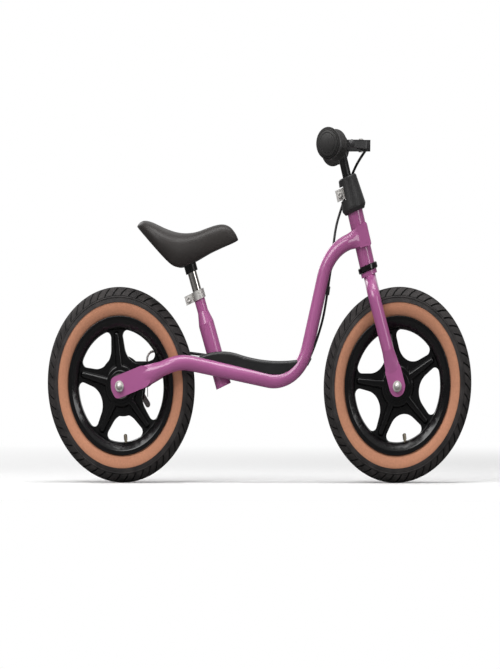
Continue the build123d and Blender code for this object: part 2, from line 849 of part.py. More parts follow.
with BuildPart() as lever_bracket:
    with BuildSketch(bar_line.offset(-bracket_width / 2)):
        Circle(bracket_ring)
    extrude(amount=bracket_width)
    with BuildSketch(level.offset(-bracket_half_height)):
        with Locations((pivot_reach / 2, 0)):
            SlotCenterToCenter(pivot_reach, 2 * lever_root_radius)
        with Locations((cheek_end / 2 + bar_radius, cheek_start + cheek_width / 2)):
            Rectangle(cheek_end - 2 * bar_radius, cheek_width)
        with Locations((pivot_reach / 2, cheek_start / 2 + cheek_width / 4)):
            Rectangle(pivot_reach / 2, cheek_start)
    extrude(amount=2 * bracket_half_height)
    with BuildSketch(level.offset(-lever_room)):
        with Locations((slot_reach, cheek_start - pivot_reach / 2)):
            Rectangle(pivot_reach, pivot_reach)
    extrude(amount=2 * lever_room, mode=Mode.SUBTRACT)
    with BuildSketch(level.offset(-bracket_half_height)):
        with Locations((pivot_reach, 0)):
            Circle(pivot_radius)
    extrude(amount=2 * bracket_half_height, mode=Mode.SUBTRACT)
    with BuildSketch(adjuster_line):
        Circle(thread_radius)
    extrude(amount=-cheek_width, mode=Mode.SUBTRACT)
    with BuildSketch(bar_line.offset(-bracket_width)):
        Circle(bar_radius)
    extrude(amount=2 * bracket_width, mode=Mode.SUBTRACT)
    with BuildSketch(bolt_line):
        Circle(clamp_bolt_radius)
    extrude(amount=bracket_ring, both=True, mode=Mode.SUBTRACT)
write(lever_bracket, "lever_bracket")

with BuildPart() as lever_bracket_bolt:
    with BuildSketch(bolt_line.offset(-bolt_half)):
        Circle(clamp_bolt_radius)
    extrude(amount=2 * bolt_half)
write(lever_bracket_bolt, "lever_bracket_bolt")

pin_line = Plane(origin=bracket_middle + Vector(pivot_reach, 0, 0))
pin_end = bracket_half_height + pin_head_height
pin_head = pivot_radius + pin_head_height
write_turned(pin_line, "lever_pivot_pin", (0, -pin_end), (pin_head, -pin_end),
             (pin_head, -bracket_half_height), (pivot_radius, -bracket_half_height),
             (pivot_radius, bracket_half_height), (pin_head, bracket_half_height), (pin_head, pin_end),
             (0, pin_end))

write_turned(adjuster_line, "cable_adjuster", (wire_radius + fit, -cheek_width),
             (thread_radius, -cheek_width), (thread_radius, 0), (adjuster_radius, 0),
             (adjuster_radius, adjuster_length - 2 * adjuster_shoulder),
             (thread_radius, adjuster_length), (wire_radius + fit, adjuster_length))

with BuildPart() as brake_lever:
    with BuildSketch(level.offset(-lever_height / 2)):
        with BuildLine():
            FilletPolyline((pivot_reach, 0), lever_knee, lever_tip, radius=3 * lever_width)
        trace(line_width=lever_width)
        with Locations((pivot_reach, 0)):
            Circle(lever_root_radius)
        with Locations(((pivot_reach + adjuster_reach) / 2, 0)):
            SlotCenterToCenter(adjuster_reach - pivot_reach, lever_root_radius)
    extrude(amount=lever_height)
    with Locations(level.from_local_coords((lever_tip[0], lever_tip[1], 0))):
        Sphere(lever_tip_radius)
    with BuildSketch(level.offset(-lever_height)):
        with Locations((pivot_reach, 0)):
            Circle(pivot_radius + fit)
    extrude(amount=2 * lever_height, mode=Mode.SUBTRACT)
write(brake_lever, "brake_lever")


# Frame: two bent main tubes, pressed flat on the head tube and round the rear axle

def lower_run_height(x):
    """Height of the main tubes' centre line along the lower run."""
    slope = (rear_corner[1] - lower_corner[1]) / (rear_corner[0] - lower_corner[0])
    return lower_corner[1] + slope * (x - lower_corner[0])


def tube_corner(side, corner, spacing):
    return Vector(corner[0], side * spacing, corner[1])


def beside_head(side, reach):
    """A point on a tube's top run, a reach behind the steering axis and square to it."""
    return steer.from_local_coords((-reach, side * tube_head_spacing, tube_head_height))


def arm_start(side):
    """The point where a tube begins to be pressed flat, and the direction of its rear arm."""
    rear = tube_corner(side, rear_corner, rear_corner_spacing)
    arm = (rear_hub + Vector(0, side * dropout_spacing, 0) - rear).normalized()
    return rear + arm * arm_flat_start, arm


def bend_radii(corners, radii):
    """The bends' radii, made smaller where two bends would use up the straight between them."""
    straights = [end - start for start, end in zip(corners, corners[1:])]
    half_turns = [radians(one.get_angle(other) / 2) for one, other in zip(straights, straights[1:])]
    takes = [radius * tan(half_turn) for radius, half_turn in zip(radii, half_turns)]
    shares = []
    for straight, first, last in zip(straights, [0.0] + takes, takes + [0.0]):
        crowded = first + last > straight.length
        shares.append(bend_room * straight.length / (first + last) if crowded else 1.0)
    return [radius * min(before, after) for radius, before, after in zip(radii, shares, shares[1:])]


def round_run(side):
    """The round length of a main tube, from the head to the rear arm."""
    seat_spacing = seat_tube_radius + tube_radius - weld_bite
    head = beside_head(side, tube_flat_head_start)
    down = beside_head(side, down_reach)
    low = tube_corner(side, lower_corner, tube_head_spacing)
    beside = tube_corner(side, (seat_pass_x, lower_run_height(seat_pass_x)), seat_spacing)
    rear = tube_corner(side, rear_corner, rear_corner_spacing)
    corners = [head, down, low, beside, rear, arm_start(side)[0]]
    with BuildPart() as run:
        with BuildLine() as route:
            FilletPolyline(*corners, radius=bend_radii(corners, [down_bend, lower_bend, spread_bend, rear_bend]))
        with BuildSketch(Plane(origin=route.line @ 0, z_dir=route.line % 0)):
            Circle(tube_radius)
        sweep(path=route.line)
    return run.part


def main_tube(side, run):
    head = beside_head(side, tube_flat_head_start)
    axle = rear_hub + Vector(0, side * dropout_spacing, 0)
    back = Vector(rear_hub.X - rear_corner[0], 0, rear_hub.Z - rear_corner[1]).normalized()
    up = back.cross(Vector(0, 1, 0))
    flat_start, arm = arm_start(side)
    flat_end = tube_corner(side, rear_corner, dropout_spacing) + back * arm_flat_end
    plate_length = (axle - flat_end).length
    with BuildPart() as tube:
        add(run)
        add(press_flat(tube_radius, Plane(origin=flat_start, x_dir=up, z_dir=arm),
                       arm_flat_width, dropout_thickness,
                       Plane(origin=flat_end + back * press_overlap, x_dir=up, z_dir=back)))
        far_face = axle + Vector(0, dropout_thickness / 2, 0)
        with BuildSketch(Plane(origin=far_face, x_dir=back, z_dir=(0, 1, 0))):
            with Locations((-plate_length / 2, 0)):
                SlotCenterToCenter(plate_length, arm_flat_width)
            RectangleRounded(2 * plate_tip, arm_flat_width, plate_corner)
        extrude(amount=-dropout_thickness)
        with BuildSketch(Plane(origin=axle + Vector(0, dropout_thickness, 0), x_dir=back, z_dir=(0, 1, 0))):
            Circle(axle_radius + fit)
            if side > 0:
                with Locations((-torque_bolt_reach, 0)):
                    Circle(torque_bolt_radius + fit)
        extrude(amount=-2 * dropout_thickness, mode=Mode.SUBTRACT)
        paddle_middle = head_tube_radius + paddle_thickness / 2 - weld_bite
        root_reach = press_overlap - tube_flat_head_end
        root = steer.from_local_coords((root_reach, side * paddle_middle, tube_head_height))
        add(press_flat(tube_radius, Plane(origin=head, x_dir=steer.z_dir, z_dir=steer.x_dir),
                       paddle_root_width, paddle_thickness,
                       Plane(origin=root, x_dir=steer.z_dir, z_dir=steer.x_dir)))
        flat = Plane(origin=steer.from_local_coords((0, side * paddle_middle, tube_head_height)),
                     x_dir=steer.x_dir, z_dir=(0, -1, 0))
        with BuildSketch(flat.offset(-paddle_thickness / 2)) as paddle:
            with BuildLine():
                Polyline((-tube_flat_head_end, -paddle_root_width / 2),
                         (paddle_reach, -paddle_tip_width / 2), (paddle_reach, paddle_tip_width / 2),
                         (-tube_flat_head_end, paddle_root_width / 2), close=True)
            make_face()
            fillet(paddle.vertices().sort_by(Axis((0, 0, 0), steer.x_dir))[-2:], paddle_thickness / 2)
        extrude(amount=paddle_thickness)
        with BuildSketch(steer.offset(lower_bush_top)):
            Circle(head_tube_radius)
        extrude(amount=head_tube_length, mode=Mode.SUBTRACT)
        with BuildSketch(seat_line):
            Circle(seat_tube_radius)
        extrude(amount=seat_tube_shoulder, mode=Mode.SUBTRACT)
    return tube


right_run = round_run(-1)
left_run = round_run(1)
write(main_tube(-1, right_run), "right_main_tube")
write(main_tube(1, left_run), "left_main_tube")


# Seat tube with an open foot, its clamp, and the post that slides in it

seat_top_radius = seat_post_radius + fit + seat_tube_top_wall
shoulder_bore = seat_tube_radius - seat_tube_wall
post_bore = seat_post_radius + fit
seat_clamp_base = seat_tube_length - seat_clamp_height

foot_bore = seat_tube_radius - seat_tube_foot_wall

write_turned(seat_line, "seat_tube", (foot_bore, 0), (seat_tube_radius, 0),
             (seat_tube_radius, seat_tube_shoulder),
             (seat_top_radius, seat_tube_shoulder + seat_tube_taper), (seat_top_radius, seat_tube_length),
             (post_bore, seat_tube_length), (post_bore, seat_tube_shoulder),
             (shoulder_bore, seat_tube_shoulder - seat_tube_taper / 4), (shoulder_bore, foot_bore_length),
             (foot_bore, foot_bore_length))
write_clamp(seat_line, "seat_clamp", seat_top_radius, seat_clamp_base, seat_clamp_height)
write_clamp_bolt(seat_line, "seat_clamp_bolt", seat_top_radius, seat_clamp_base, seat_clamp_height)
write_turned(seat_line, "seat_post", (0, seat_post_foot), (seat_post_radius - 1, seat_post_foot),
             (seat_post_radius, seat_post_foot + 1), (seat_post_radius, seat_post_top), (0, seat_post_top))


# Saddle: a padded cover over a base, held on the post by a bracket

saddle_stations = [
    # distance along X, underside, top, half width
    (-254.0, 402.0, 418.0, 26.0),
    (-238.0, 394.0, 422.5, 52.0),
    (-206.0, 367.0, 412.0, 64.0),
    (-172.0, 348.0, 402.5, 58.0),
    (-136.0, 359.0, 403.0, 40.0),
    (-100.0, 371.0, 413.0, 28.0),
    (-70.0, 381.5, 416.0, 22.0),
    (-46.0, 390.5, 399.0, 12.0),
]
foot_share = 0.8
shoulder_share = 0.84
waist_rise = 0.5
shoulder_rise = 0.8
base_share = 0.66
base_depth = 9.0
base_drop = 1.5


def saddle_section(underside, top, half_width):
    """A cross-section with a flat underside, drawn-in sides and a crowned top, as Y and Z."""
    foot = half_width * foot_share
    shoulder = half_width * shoulder_share
    depth = top - underside
    waist_height = underside + depth * waist_rise
    shoulder_height = underside + depth * shoulder_rise
    Line((-foot, underside), (foot, underside))
    ThreePointArc((foot, underside), (half_width, waist_height), (shoulder, shoulder_height))
    ThreePointArc((shoulder, shoulder_height), (0, top), (-shoulder, shoulder_height))
    ThreePointArc((-shoulder, shoulder_height), (-half_width, waist_height), (-foot, underside))


def section_plane(x):
    return Plane(origin=(x, 0, 0), x_dir=(0, 1, 0), z_dir=(1, 0, 0))


with BuildPart() as saddle_base:
    for x, underside, top, half_width in saddle_stations[1:-1]:
        with BuildSketch(section_plane(x)):
            with Locations((0, underside + base_depth / 2)):
                Rectangle(2 * half_width * base_share, base_depth)
    loft()
    with BuildSketch(seat_line.offset(saddle_bracket_base)):
        Circle(saddle_bracket_radius)
    extrude(amount=seat_post_top - saddle_bracket_base + base_depth, mode=Mode.SUBTRACT)

with BuildPart() as saddle_bracket:
    with BuildSketch(seat_line.offset(saddle_bracket_base)):
        Circle(saddle_bracket_radius)
    extrude(amount=seat_post_top - saddle_bracket_base + base_depth)
    with BuildSketch(seat_line.offset(saddle_bracket_base)):
        Circle(seat_post_radius)
    extrude(amount=seat_post_top - saddle_bracket_base, mode=Mode.SUBTRACT)

with BuildPart() as saddle_cover:
    for x, underside, top, half_width in saddle_stations:
        with BuildSketch(section_plane(x)):
            with BuildLine():
                saddle_section(underside + base_drop, top, half_width)
            make_face()
    loft()
    add(saddle_base.part, mode=Mode.SUBTRACT)
    add(saddle_bracket.part, mode=Mode.SUBTRACT)
    with BuildSketch(seat_line.offset(saddle_bracket_base)):
        Circle(saddle_bracket_radius)
    extrude(amount=seat_post_top - saddle_bracket_base, mode=Mode.SUBTRACT)

write(saddle_base, "saddle_base")
write(saddle_bracket, "saddle_bracket")
write(saddle_cover, "saddle_cover")


# Brake cable: a housing on large arcs from the lever, past the head and along the frame

def middle(a, b):
    return tuple((p + q) / 2 for p, q in zip(a, b))


def bend_radii(points):
    """The largest arc that each corner's shorter run leaves room for."""
    corners = [Vector(p) for p in points]
    radii = []
    for a, b, c in zip(corners, corners[1:], corners[2:]):
        half_turn = radians((b - a).get_angle(c - b)) / 2
        radii.append(bend_share * min((b - a).length, (c - b).length) / tan(half_turn))
    return radii


def write_cable(name, points, radius):
    radii = bend_radii(points)
    print(name, "bends", [round(r) for r in radii])
    with BuildPart() as cable:
        with BuildLine() as route:
            FilletPolyline(*points, radius=radii)
        with BuildSketch(Plane(origin=route.line @ 0, z_dir=route.line % 0)):
            Circle(radius)
        sweep(path=route.line)
    write(cable, name)
    return cable.part


cable_start, cable_exit = (tuple(adjuster_line.from_local_coords((0, 0, height)))
                           for height in (adjuster_length, 2 * adjuster_length))
head_join = middle(cable_from_lever[-1], cable_past_head[0])
frame_join = middle(cable_past_head[-1], cable_on_frame[0])
write_cable("brake_cable_upper", [cable_start, cable_exit, *cable_from_lever, head_join], cable_radius)
write_cable("brake_cable_loop", [head_join, *cable_past_head, frame_join], cable_radius)
frame_points = [frame_join, *cable_on_frame, guide_pipe_start]
frame_cable = write_cable("brake_cable_lower", frame_points, cable_radius)

arm_plane_depth = plate_far + plate_gap + arm_thickness / 2
stop_top = rear_hub.Z + cable_stop_height + plate_thickness / 2
pipe_x = rear_hub.X + arm_tip[0]
pipe_rise = (guide_pipe_start[2] - cable_on_frame[-1][2]) / (guide_pipe_start[0] - cable_on_frame[-1][0])
pipe_corner = (pipe_x, arm_plane_depth, guide_pipe_start[2] + pipe_rise * (pipe_x - guide_pipe_start[0]))
pipe_end = (pipe_x, arm_plane_depth, stop_top)
with BuildPart() as cable_guide_pipe:
    with BuildLine() as pipe_route:
        FilletPolyline(guide_pipe_start, pipe_corner, pipe_end, radius=guide_pipe_bend)
    with BuildSketch(Plane(origin=pipe_route.line @ 0, z_dir=pipe_route.line % 0)):
        Circle(guide_pipe_radius)
    sweep(path=pipe_route.line)
write(cable_guide_pipe, "cable_guide_pipe")

arm_run = arm_tip[0] - brake_pin_offset
arm_length = sqrt(arm_run**2 + arm_tip[1]**2)
wire_foot = rear_hub.Z + arm_tip[1] + (arm_width / 2 + wire_radius) * arm_length / arm_run
with BuildPart() as brake_wire:
    with BuildSketch(Plane(origin=(pipe_x, arm_plane_depth, wire_foot))):
        Circle(wire_radius)
    extrude(amount=stop_top - wire_foot)
write(brake_wire, "brake_wire")


# Clips that press between the main tubes and carry the cable in front of them

def clip_plane(a, b):
    run = Vector(b) - Vector(a)
    return Plane(origin=middle(a, b), x_dir=Vector(0, 1, 0).cross(run.normalized()), z_dir=run.normalized())


clip_half_width = tube_head_spacing - tube_radius + weld_bite
clip_runs = [(cable_on_frame[0], cable_past_head[-1]), (cable_on_frame[4], cable_on_frame[3])]
with BuildPart() as cable_clips:
    for run_start, run_end in clip_runs:
        with BuildSketch(clip_plane(run_start, run_end).offset(-clip_length / 2)):
            Circle(clip_radius)
            with Locations((-clip_root / 2, 0)):
                Rectangle(clip_root, 2 * clip_half_width)
            Circle(cable_radius + seat_gap, mode=Mode.SUBTRACT)
        extrude(amount=clip_length)
    add(right_run, mode=Mode.SUBTRACT)
    add(left_run, mode=Mode.SUBTRACT)
write(cable_clips, "cable_clips")


# Footboard: a moulded tray over the lower run of the main tubes, screwed to two straps

def board_side(wall):
    """The tray's side view, lowered and shortened by its wall for the hollow inside."""
    front = board_front - wall
    rear = board_rear + wall
    rear_foot, rear_top, crest, waist, dip, front_top, front_foot = (
        (x, lower_run_height(x) + rise - wall)
        for x, rise in ((rear, board_rear_skirt), (rear, board_rear_rise),
                        (board_crest, board_crest_rise), (board_waist, board_waist_rise),
                        (board_dip, board_dip_rise), (front, board_front_rise),
                        (front, board_front_skirt)))
    Line(rear_foot, rear_top)
    ThreePointArc(rear_top, crest, waist)
    ThreePointArc(waist, dip, front_top)
    Polyline(front_top, front_foot, rear_foot)


side_view = Plane(origin=(0, 0, 0), x_dir=(1, 0, 0), z_dir=(0, -1, 0))
strap_tops = [(x, lower_run_height(x) + strap_rise + strap_thickness) for x in strap_places]

with BuildPart() as footboard:
    with BuildSketch(side_view.offset(-board_half_width)):
        with BuildLine():
            board_side(0)
        make_face()
    extrude(amount=2 * board_half_width)
    fillet(footboard.edges().filter_by(GeomType.CIRCLE), board_edge)
    with BuildSketch(side_view.offset(-board_half_width + board_wall)):
        with BuildLine():
            board_side(board_wall)
        make_face()
    extrude(amount=2 * (board_half_width - board_wall), mode=Mode.SUBTRACT)
    for x, top in strap_tops:
        with BuildSketch(Plane(origin=(x, screw_offset, top))):
            Circle(boss_radius)
            Circle(screw_radius, mode=Mode.SUBTRACT)
        extrude(amount=lower_run_height(x) + boss_top_rise - top)
    add(right_run, mode=Mode.SUBTRACT)
    add(left_run, mode=Mode.SUBTRACT)
    with BuildSketch(seat_line):
        Circle(seat_tube_radius + body_gap)
    extrude(amount=seat_tube_shoulder, mode=Mode.SUBTRACT)
    add(frame_cable, mode=Mode.SUBTRACT)
    add(footboard.solids().sort_by(SortBy.VOLUME)[-1], mode=Mode.REPLACE)
write(footboard, "footboard")

with BuildPart() as footboard_straps:
    for x, top in strap_tops:
        with BuildSketch(Plane(origin=(x, 0, top))):
            Rectangle(strap_width, 2 * (tube_head_spacing + strap_overlap))
            with Locations((0, screw_offset)):
                Circle(screw_radius, mode=Mode.SUBTRACT)
        extrude(amount=-strap_thickness)
    add(right_run, mode=Mode.SUBTRACT)
    add(left_run, mode=Mode.SUBTRACT)
write(footboard_straps, "footboard_straps")

with BuildPart() as footboard_screws:
    for x, top in strap_tops:
        with BuildSketch(Plane(origin=(x, screw_offset, top - strap_thickness))):
            Circle(screw_head_radius)
        extrude(amount=-screw_head_height)
        with BuildSketch(Plane(origin=(x, screw_offset, top - strap_thickness))):
            Circle(screw_radius)
        extrude(amount=strap_thickness + screw_bite)
write(footboard_screws, "footboard_screws")


# Drum brake: drum on the wheel, back plate on the axle, two shoes spread by a cam

shoe_middle = (drum_near + drum_plate + plate_near) / 2
lining_radius = drum_radius - lining_gap

drum_outside = drum_radius + drum_wall
write_turned(rear_wheel, "brake_drum", (drum_eye_radius, -drum_near), (drum_outside, -drum_near),
             (drum_outside, -drum_far), (drum_radius, -drum_far),
             (drum_radius, -drum_near - drum_plate), (drum_eye_radius, -drum_near - drum_plate))

arm_direction = (rear_corner[0] - rear_hub.X, rear_corner[1] - rear_hub.Z)
arm_span = sqrt(arm_direction[0]**2 + arm_direction[1]**2)
torque_place = tuple(torque_bolt_reach * run / arm_span for run in arm_direction)

with BuildPart() as brake_back_plate:
    with BuildSketch(rear_wheel.offset(-plate_far)):
        Circle(plate_radius)
        with Locations((arm_tip[0] / 2, (stop_plate_foot + cable_stop_height + plate_thickness / 2) / 2)):
            Rectangle(arm_tip[0] + arm_width, cable_stop_height + plate_thickness / 2 - stop_plate_foot)
        Circle(axle_radius, mode=Mode.SUBTRACT)
        with Locations((brake_pin_offset, 0)):
            Circle(anchor_pin_radius + fit, mode=Mode.SUBTRACT)
        with Locations(torque_place):
            Circle(torque_bolt_radius, mode=Mode.SUBTRACT)
    extrude(amount=plate_thickness)
    with BuildSketch(Plane(origin=(pipe_x, plate_near, stop_top))):
        with Locations((0, (arm_plane_depth - plate_near) / 2 + stop_shelf_margin)):
            Rectangle(arm_width, arm_plane_depth - plate_near + 2 * stop_shelf_margin)
        with Locations((0, arm_plane_depth - plate_near)):
            Circle(wire_radius + fit, mode=Mode.SUBTRACT)
    extrude(amount=-plate_thickness)
    with BuildSketch(rear_wheel.offset(-plate_near)):
        with Locations((-brake_pin_offset, 0)):
            Circle(anchor_pin_radius)
    extrude(amount=drum_depth - drum_plate - plate_gap)
write(brake_back_plate, "brake_back_plate")

torque_line = Plane(origin=rear_wheel.from_local_coords((torque_place[0], torque_place[1], 0)),
                    x_dir=(1, 0, 0), z_dir=(0, 1, 0))
torque_end = frame_face + dropout_thickness
write_turned(torque_line, "brake_torque_bolt", (0, plate_near), (torque_bolt_radius, plate_near),
             (torque_bolt_radius, plate_far), (torque_spacer_radius, plate_far),
             (torque_spacer_radius, frame_face), (torque_bolt_radius, frame_face),
             (torque_bolt_radius, torque_end), (torque_spacer_radius, torque_end),
             (torque_spacer_radius, torque_end + torque_head_height),
             (0, torque_end + torque_head_height))


def write_shoe(side, name):
    """A half-round shoe with a web, its flat ends resting on the anchor pin and the cam."""
    seat = cam_half_height + body_gap
    reach = 2 * drum_radius
    with BuildPart() as shoe:
        for outer, inner, width in (
            (lining_radius, lining_radius - shoe_rim, shoe_width),
            (lining_radius - shoe_rim, shoe_inner_radius, shoe_web),
        ):
            with BuildSketch(rear_wheel.offset(-shoe_middle - width / 2)):
                Circle(outer)
                Circle(inner, mode=Mode.SUBTRACT)
                with Locations((0, side * (seat + reach / 2))):
                    Rectangle(reach, reach, mode=Mode.INTERSECT)
            extrude(amount=width)
    write(shoe, name)


write_shoe(1, "upper_brake_shoe")
write_shoe(-1, "lower_brake_shoe")

spring_depth = shoe_middle - shoe_web / 2 - body_gap - spring_radius
with BuildPart() as shoe_springs:
    for x in (-spring_place, spring_place):
        origin = rear_wheel.from_local_coords((x, -spring_half_length, -spring_depth))
        with BuildSketch(Plane(origin=origin)):
            Circle(spring_radius)
        extrude(amount=2 * spring_half_length)
write(shoe_springs, "shoe_springs")

with BuildPart() as brake_arm:
    with BuildSketch(rear_wheel.offset(-shoe_middle - shoe_width / 2)):
        with Locations((brake_pin_offset, 0)):
            Rectangle(2 * cam_half_length, 2 * cam_half_height)
    extrude(amount=shoe_width)
    with BuildSketch(rear_wheel.offset(-arm_plane_depth - arm_thickness / 2)):
        with Locations((brake_pin_offset, 0)):
            Circle(anchor_pin_radius)
    extrude(amount=arm_plane_depth + arm_thickness / 2 - shoe_middle)
    with BuildSketch(rear_wheel.offset(-arm_plane_depth - arm_thickness / 2)):
        with BuildLine():
            Line((brake_pin_offset, 0), arm_tip)
        trace(line_width=arm_width)
        for spot in ((brake_pin_offset, 0), arm_tip):
            with Locations(spot):
                Circle(arm_width / 2)
        with Locations(arm_tip):
            Circle(anchor_bolt_radius, mode=Mode.SUBTRACT)
    extrude(amount=arm_thickness)
write(brake_arm, "brake_arm")

anchor_line = turned_round(Plane(origin=rear_wheel.from_local_coords((arm_tip[0], arm_tip[1], 0))))
anchor_near = arm_plane_depth - arm_thickness / 2
anchor_far = arm_plane_depth + arm_thickness / 2
anchor_end = anchor_far + anchor_head_height
write_turned(anchor_line, "cable_anchor_bolt", (0, anchor_near), (anchor_bolt_radius, anchor_near),
             (anchor_bolt_radius, anchor_far), (anchor_head_radius, anchor_far),
             (anchor_head_radius, anchor_end), (0, anchor_end))
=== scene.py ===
import math

import bmesh
import bpy
from mathutils import Matrix, Vector


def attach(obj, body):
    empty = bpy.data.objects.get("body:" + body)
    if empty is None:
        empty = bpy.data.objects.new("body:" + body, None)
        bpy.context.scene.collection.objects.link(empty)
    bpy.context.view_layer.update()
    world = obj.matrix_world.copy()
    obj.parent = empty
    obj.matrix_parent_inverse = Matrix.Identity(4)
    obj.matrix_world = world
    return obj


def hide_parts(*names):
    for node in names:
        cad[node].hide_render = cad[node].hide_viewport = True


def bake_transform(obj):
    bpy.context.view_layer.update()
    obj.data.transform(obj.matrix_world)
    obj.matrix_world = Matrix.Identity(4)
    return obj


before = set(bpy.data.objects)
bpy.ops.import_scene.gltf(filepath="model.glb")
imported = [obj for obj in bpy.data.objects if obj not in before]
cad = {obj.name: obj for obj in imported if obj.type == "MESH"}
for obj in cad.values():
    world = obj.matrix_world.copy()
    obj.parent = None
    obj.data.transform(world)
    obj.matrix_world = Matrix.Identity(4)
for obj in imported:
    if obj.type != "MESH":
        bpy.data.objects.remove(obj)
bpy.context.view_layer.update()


# Painted tubes: head tube, two bent main tubes, seat tube, footboard straps and fork blades.
# They are steel, welded together, sprayed in orchid lacquer and baked under a clear coat, so the
# colour is even and the gloss has a faint orange peel.
class Wire:
    """A socket of a node tree: arithmetic on it adds Math nodes, and add makes any other node."""

    def __init__(self, tree, socket=None):
        self.tree = tree
        self.socket = socket

    def plug(self, value, socket):
        if isinstance(value, Wire):
            self.tree.links.new(value.socket, socket)
        else:
            socket.default_value = value

    def add(self, kind, settings=None, inputs=None, output=0):
        node = self.tree.nodes.new(kind)
        for name, value in (settings or {}).items():
            if name == "stops":
                ramp = node.color_ramp.elements
                while len(ramp) < len(value):
                    ramp.new(1.0)
                for stop, (place, level) in zip(ramp, value):
                    stop.position = place
                    stop.color = (level, level, level, 1.0)
            else:
                setattr(node, name, value)
        for name, value in (inputs or {}).items():
            self.plug(value, node.inputs[name])
        return Wire(self.tree, node.outputs[output])

    def math(self, operation, first, second=0.0):
        return self.add("ShaderNodeMath", {"operation": operation}, {0: first, 1: second})

    def __add__(self, other):
        return self.math("ADD", self, other)

    def __radd__(self, other):
        return self.math("ADD", other, self)

    def __sub__(self, other):
        return self.math("SUBTRACT", self, other)

    def __rsub__(self, other):
        return self.math("SUBTRACT", other, self)

    def __mul__(self, other):
        return self.math("MULTIPLY", self, other)

    def __rmul__(self, other):
        return self.math("MULTIPLY", other, self)

    def __truediv__(self, other):
        return self.math("DIVIDE", self, other)

    def mix(self, low, high):
        """A colour that goes from low to high as this value goes from 0 to 1."""
        return self.add("ShaderNodeMix", {"data_type": "RGBA"}, {0: self, 6: low, 7: high}, 2)

    def tint(self, low, high):
        """The same between two fixed colours, given without alpha."""
        return self.mix((*low, 1.0), (*high, 1.0))

    def ramp(self, *stops):
        return self.add("ShaderNodeValToRGB", {"stops": stops}, {"Fac": self})

    def noise(self, scale, detail=2.0, stretch=(1.0, 1.0, 1.0)):
        """Noise on the piece's own place, so many spots a metre, drawn out along an axis if asked."""
        place = self.add("ShaderNodeTexCoord", output="Object")
        drawn = self.add("ShaderNodeMapping", inputs={"Vector": place, "Scale": stretch})
        return self.add("ShaderNodeTexNoise", inputs={"Vector": drawn, "Scale": scale, "Detail": detail})

    def bump(self, height, distance, strength):
        relief = {"Height": height, "Distance": distance, "Strength": strength}
        return self.add("ShaderNodeBump", inputs=relief)


def finish(name, fixed):
    """A new material with these fixed values on its shader."""
    material = bpy.data.materials.new(name)
    material.use_nodes = True
    shader = material.node_tree.nodes["Principled BSDF"]
    for socket, value in fixed.items():
        shader.inputs[socket].default_value = value
    return material, shader.inputs, Wire(material.node_tree)


def wear(material, *names):
    """These CAD nodes get this material."""
    for name in names:
        cad[name].data.materials.clear()
        cad[name].data.materials.append(material)


orchid_deep = (0.38, 0.095, 0.262)
orchid_light = (0.43, 0.110, 0.300)
clear_coat = {"Coat Weight": 0.7, "Coat Roughness": 0.06, "IOR": 1.5}
orchid_paint, sockets, wire = finish("orchid_paint", clear_coat)
cloud = wire.noise(9.0, 3.0)
peel = wire.noise(620.0, 1.0)
wire.plug(cloud.ramp((0.3, 0.0), (0.7, 1.0)).tint(orchid_deep, orchid_light), sockets["Base Color"])
wire.plug(0.30 + 0.10 * wire.noise(60.0, 4.0), sockets["Roughness"])
wire.plug(wire.bump(peel, 0.00006, 0.5), sockets["Normal"])
wear(orchid_paint, "head_tube", "right_main_tube", "left_main_tube", "seat_tube", "footboard_straps",
     "right_fork_blade", "left_fork_blade", "fork_steerer")


# Tyre treads: black rubber, moulded with slanted blocks between a plain crown and a thin raised
# line, below which a smooth band runs down to the tan. One pitch is modelled, and Geometry Nodes
# set the pitches round the axle.
hubs = {"front": Vector((0.298, 0.0, 0.159)), "rear": Vector((-0.298, 0.0, 0.159))}
tread_pitches = 54
section_middle = 0.132
tread_section = 0.027
casing_section = 0.0245
groove_depth = 0.0024
step_rise = 0.0008
line_rise = 0.0007
slant = 1.05
tread_rows = [83.6, 79.0, 74.0, 69.0, 67.6, 66.8, 65.0, 64.2, 61.6, 60.6, 59.4, 58.4, 52.0, 46.0, 40.0,
              34.0, 28.0, 22.0, 18.6, 17.6, 14.6, 13.6, 9.0, 4.5, 0.0]
tread_columns = [0.0, 0.07, 0.11, 0.26, 0.30, 0.44, 0.58, 0.72, 0.86, 1.0]
inner_row_step = 6
crown_edge, block_foot = 17.0, 60.0
ring_groove = (14.0, 18.0)
cross_groove = (0.10, 0.27)
raised_line = (64.5, 67.0)
tread_crease = math.radians(32.0)

tread_rubber, sockets, wire = finish("tread_rubber", {"Specular IOR Level": 0.35})
dust = wire.noise(55.0, 5.0)
grain = wire.noise(1400.0, 2.0)
depth = wire.add("ShaderNodeAttribute", {"attribute_name": "groove"}, output="Fac")
# Painted shade: the grooves are painted darker than the blocks, and dust lightens the rest of the tread at
# random.
dust_and_groove_shade = (1.0 - depth) * (0.35 + 0.65 * dust.ramp((0.35, 0.0), (0.75, 1.0)))
wire.plug(dust_and_groove_shade.tint((0.007, 0.0068, 0.007), (0.052, 0.046, 0.045)), sockets["Base Color"])
wire.plug(0.62 + 0.22 * dust, sockets["Roughness"])
wire.plug(wire.bump(grain, 0.00012, 0.6), sockets["Normal"])


def groove_at(angle, share):
    """How deep the tread is cut, from 0 to 1, at an angle from the crown and a share of the pitch."""
    across = crown_edge < angle < block_foot and cross_groove[0] < share < cross_groove[1]
    around = ring_groove[0] < angle < ring_groove[1]
    return 1.0 if across or around else 0.0


def rise_at(angle):
    """How far the tread stands out from its plain section at an angle from the crown."""
    if raised_line[0] < angle < raised_line[1]:
        return line_rise
    return 0.0 if angle < block_foot else -step_rise


def mesh_data(mesh, name):
    """A mesh of this name from a bmesh, which is freed."""
    data = bpy.data.meshes.new(name)
    mesh.to_mesh(data)
    mesh.free()
    return data


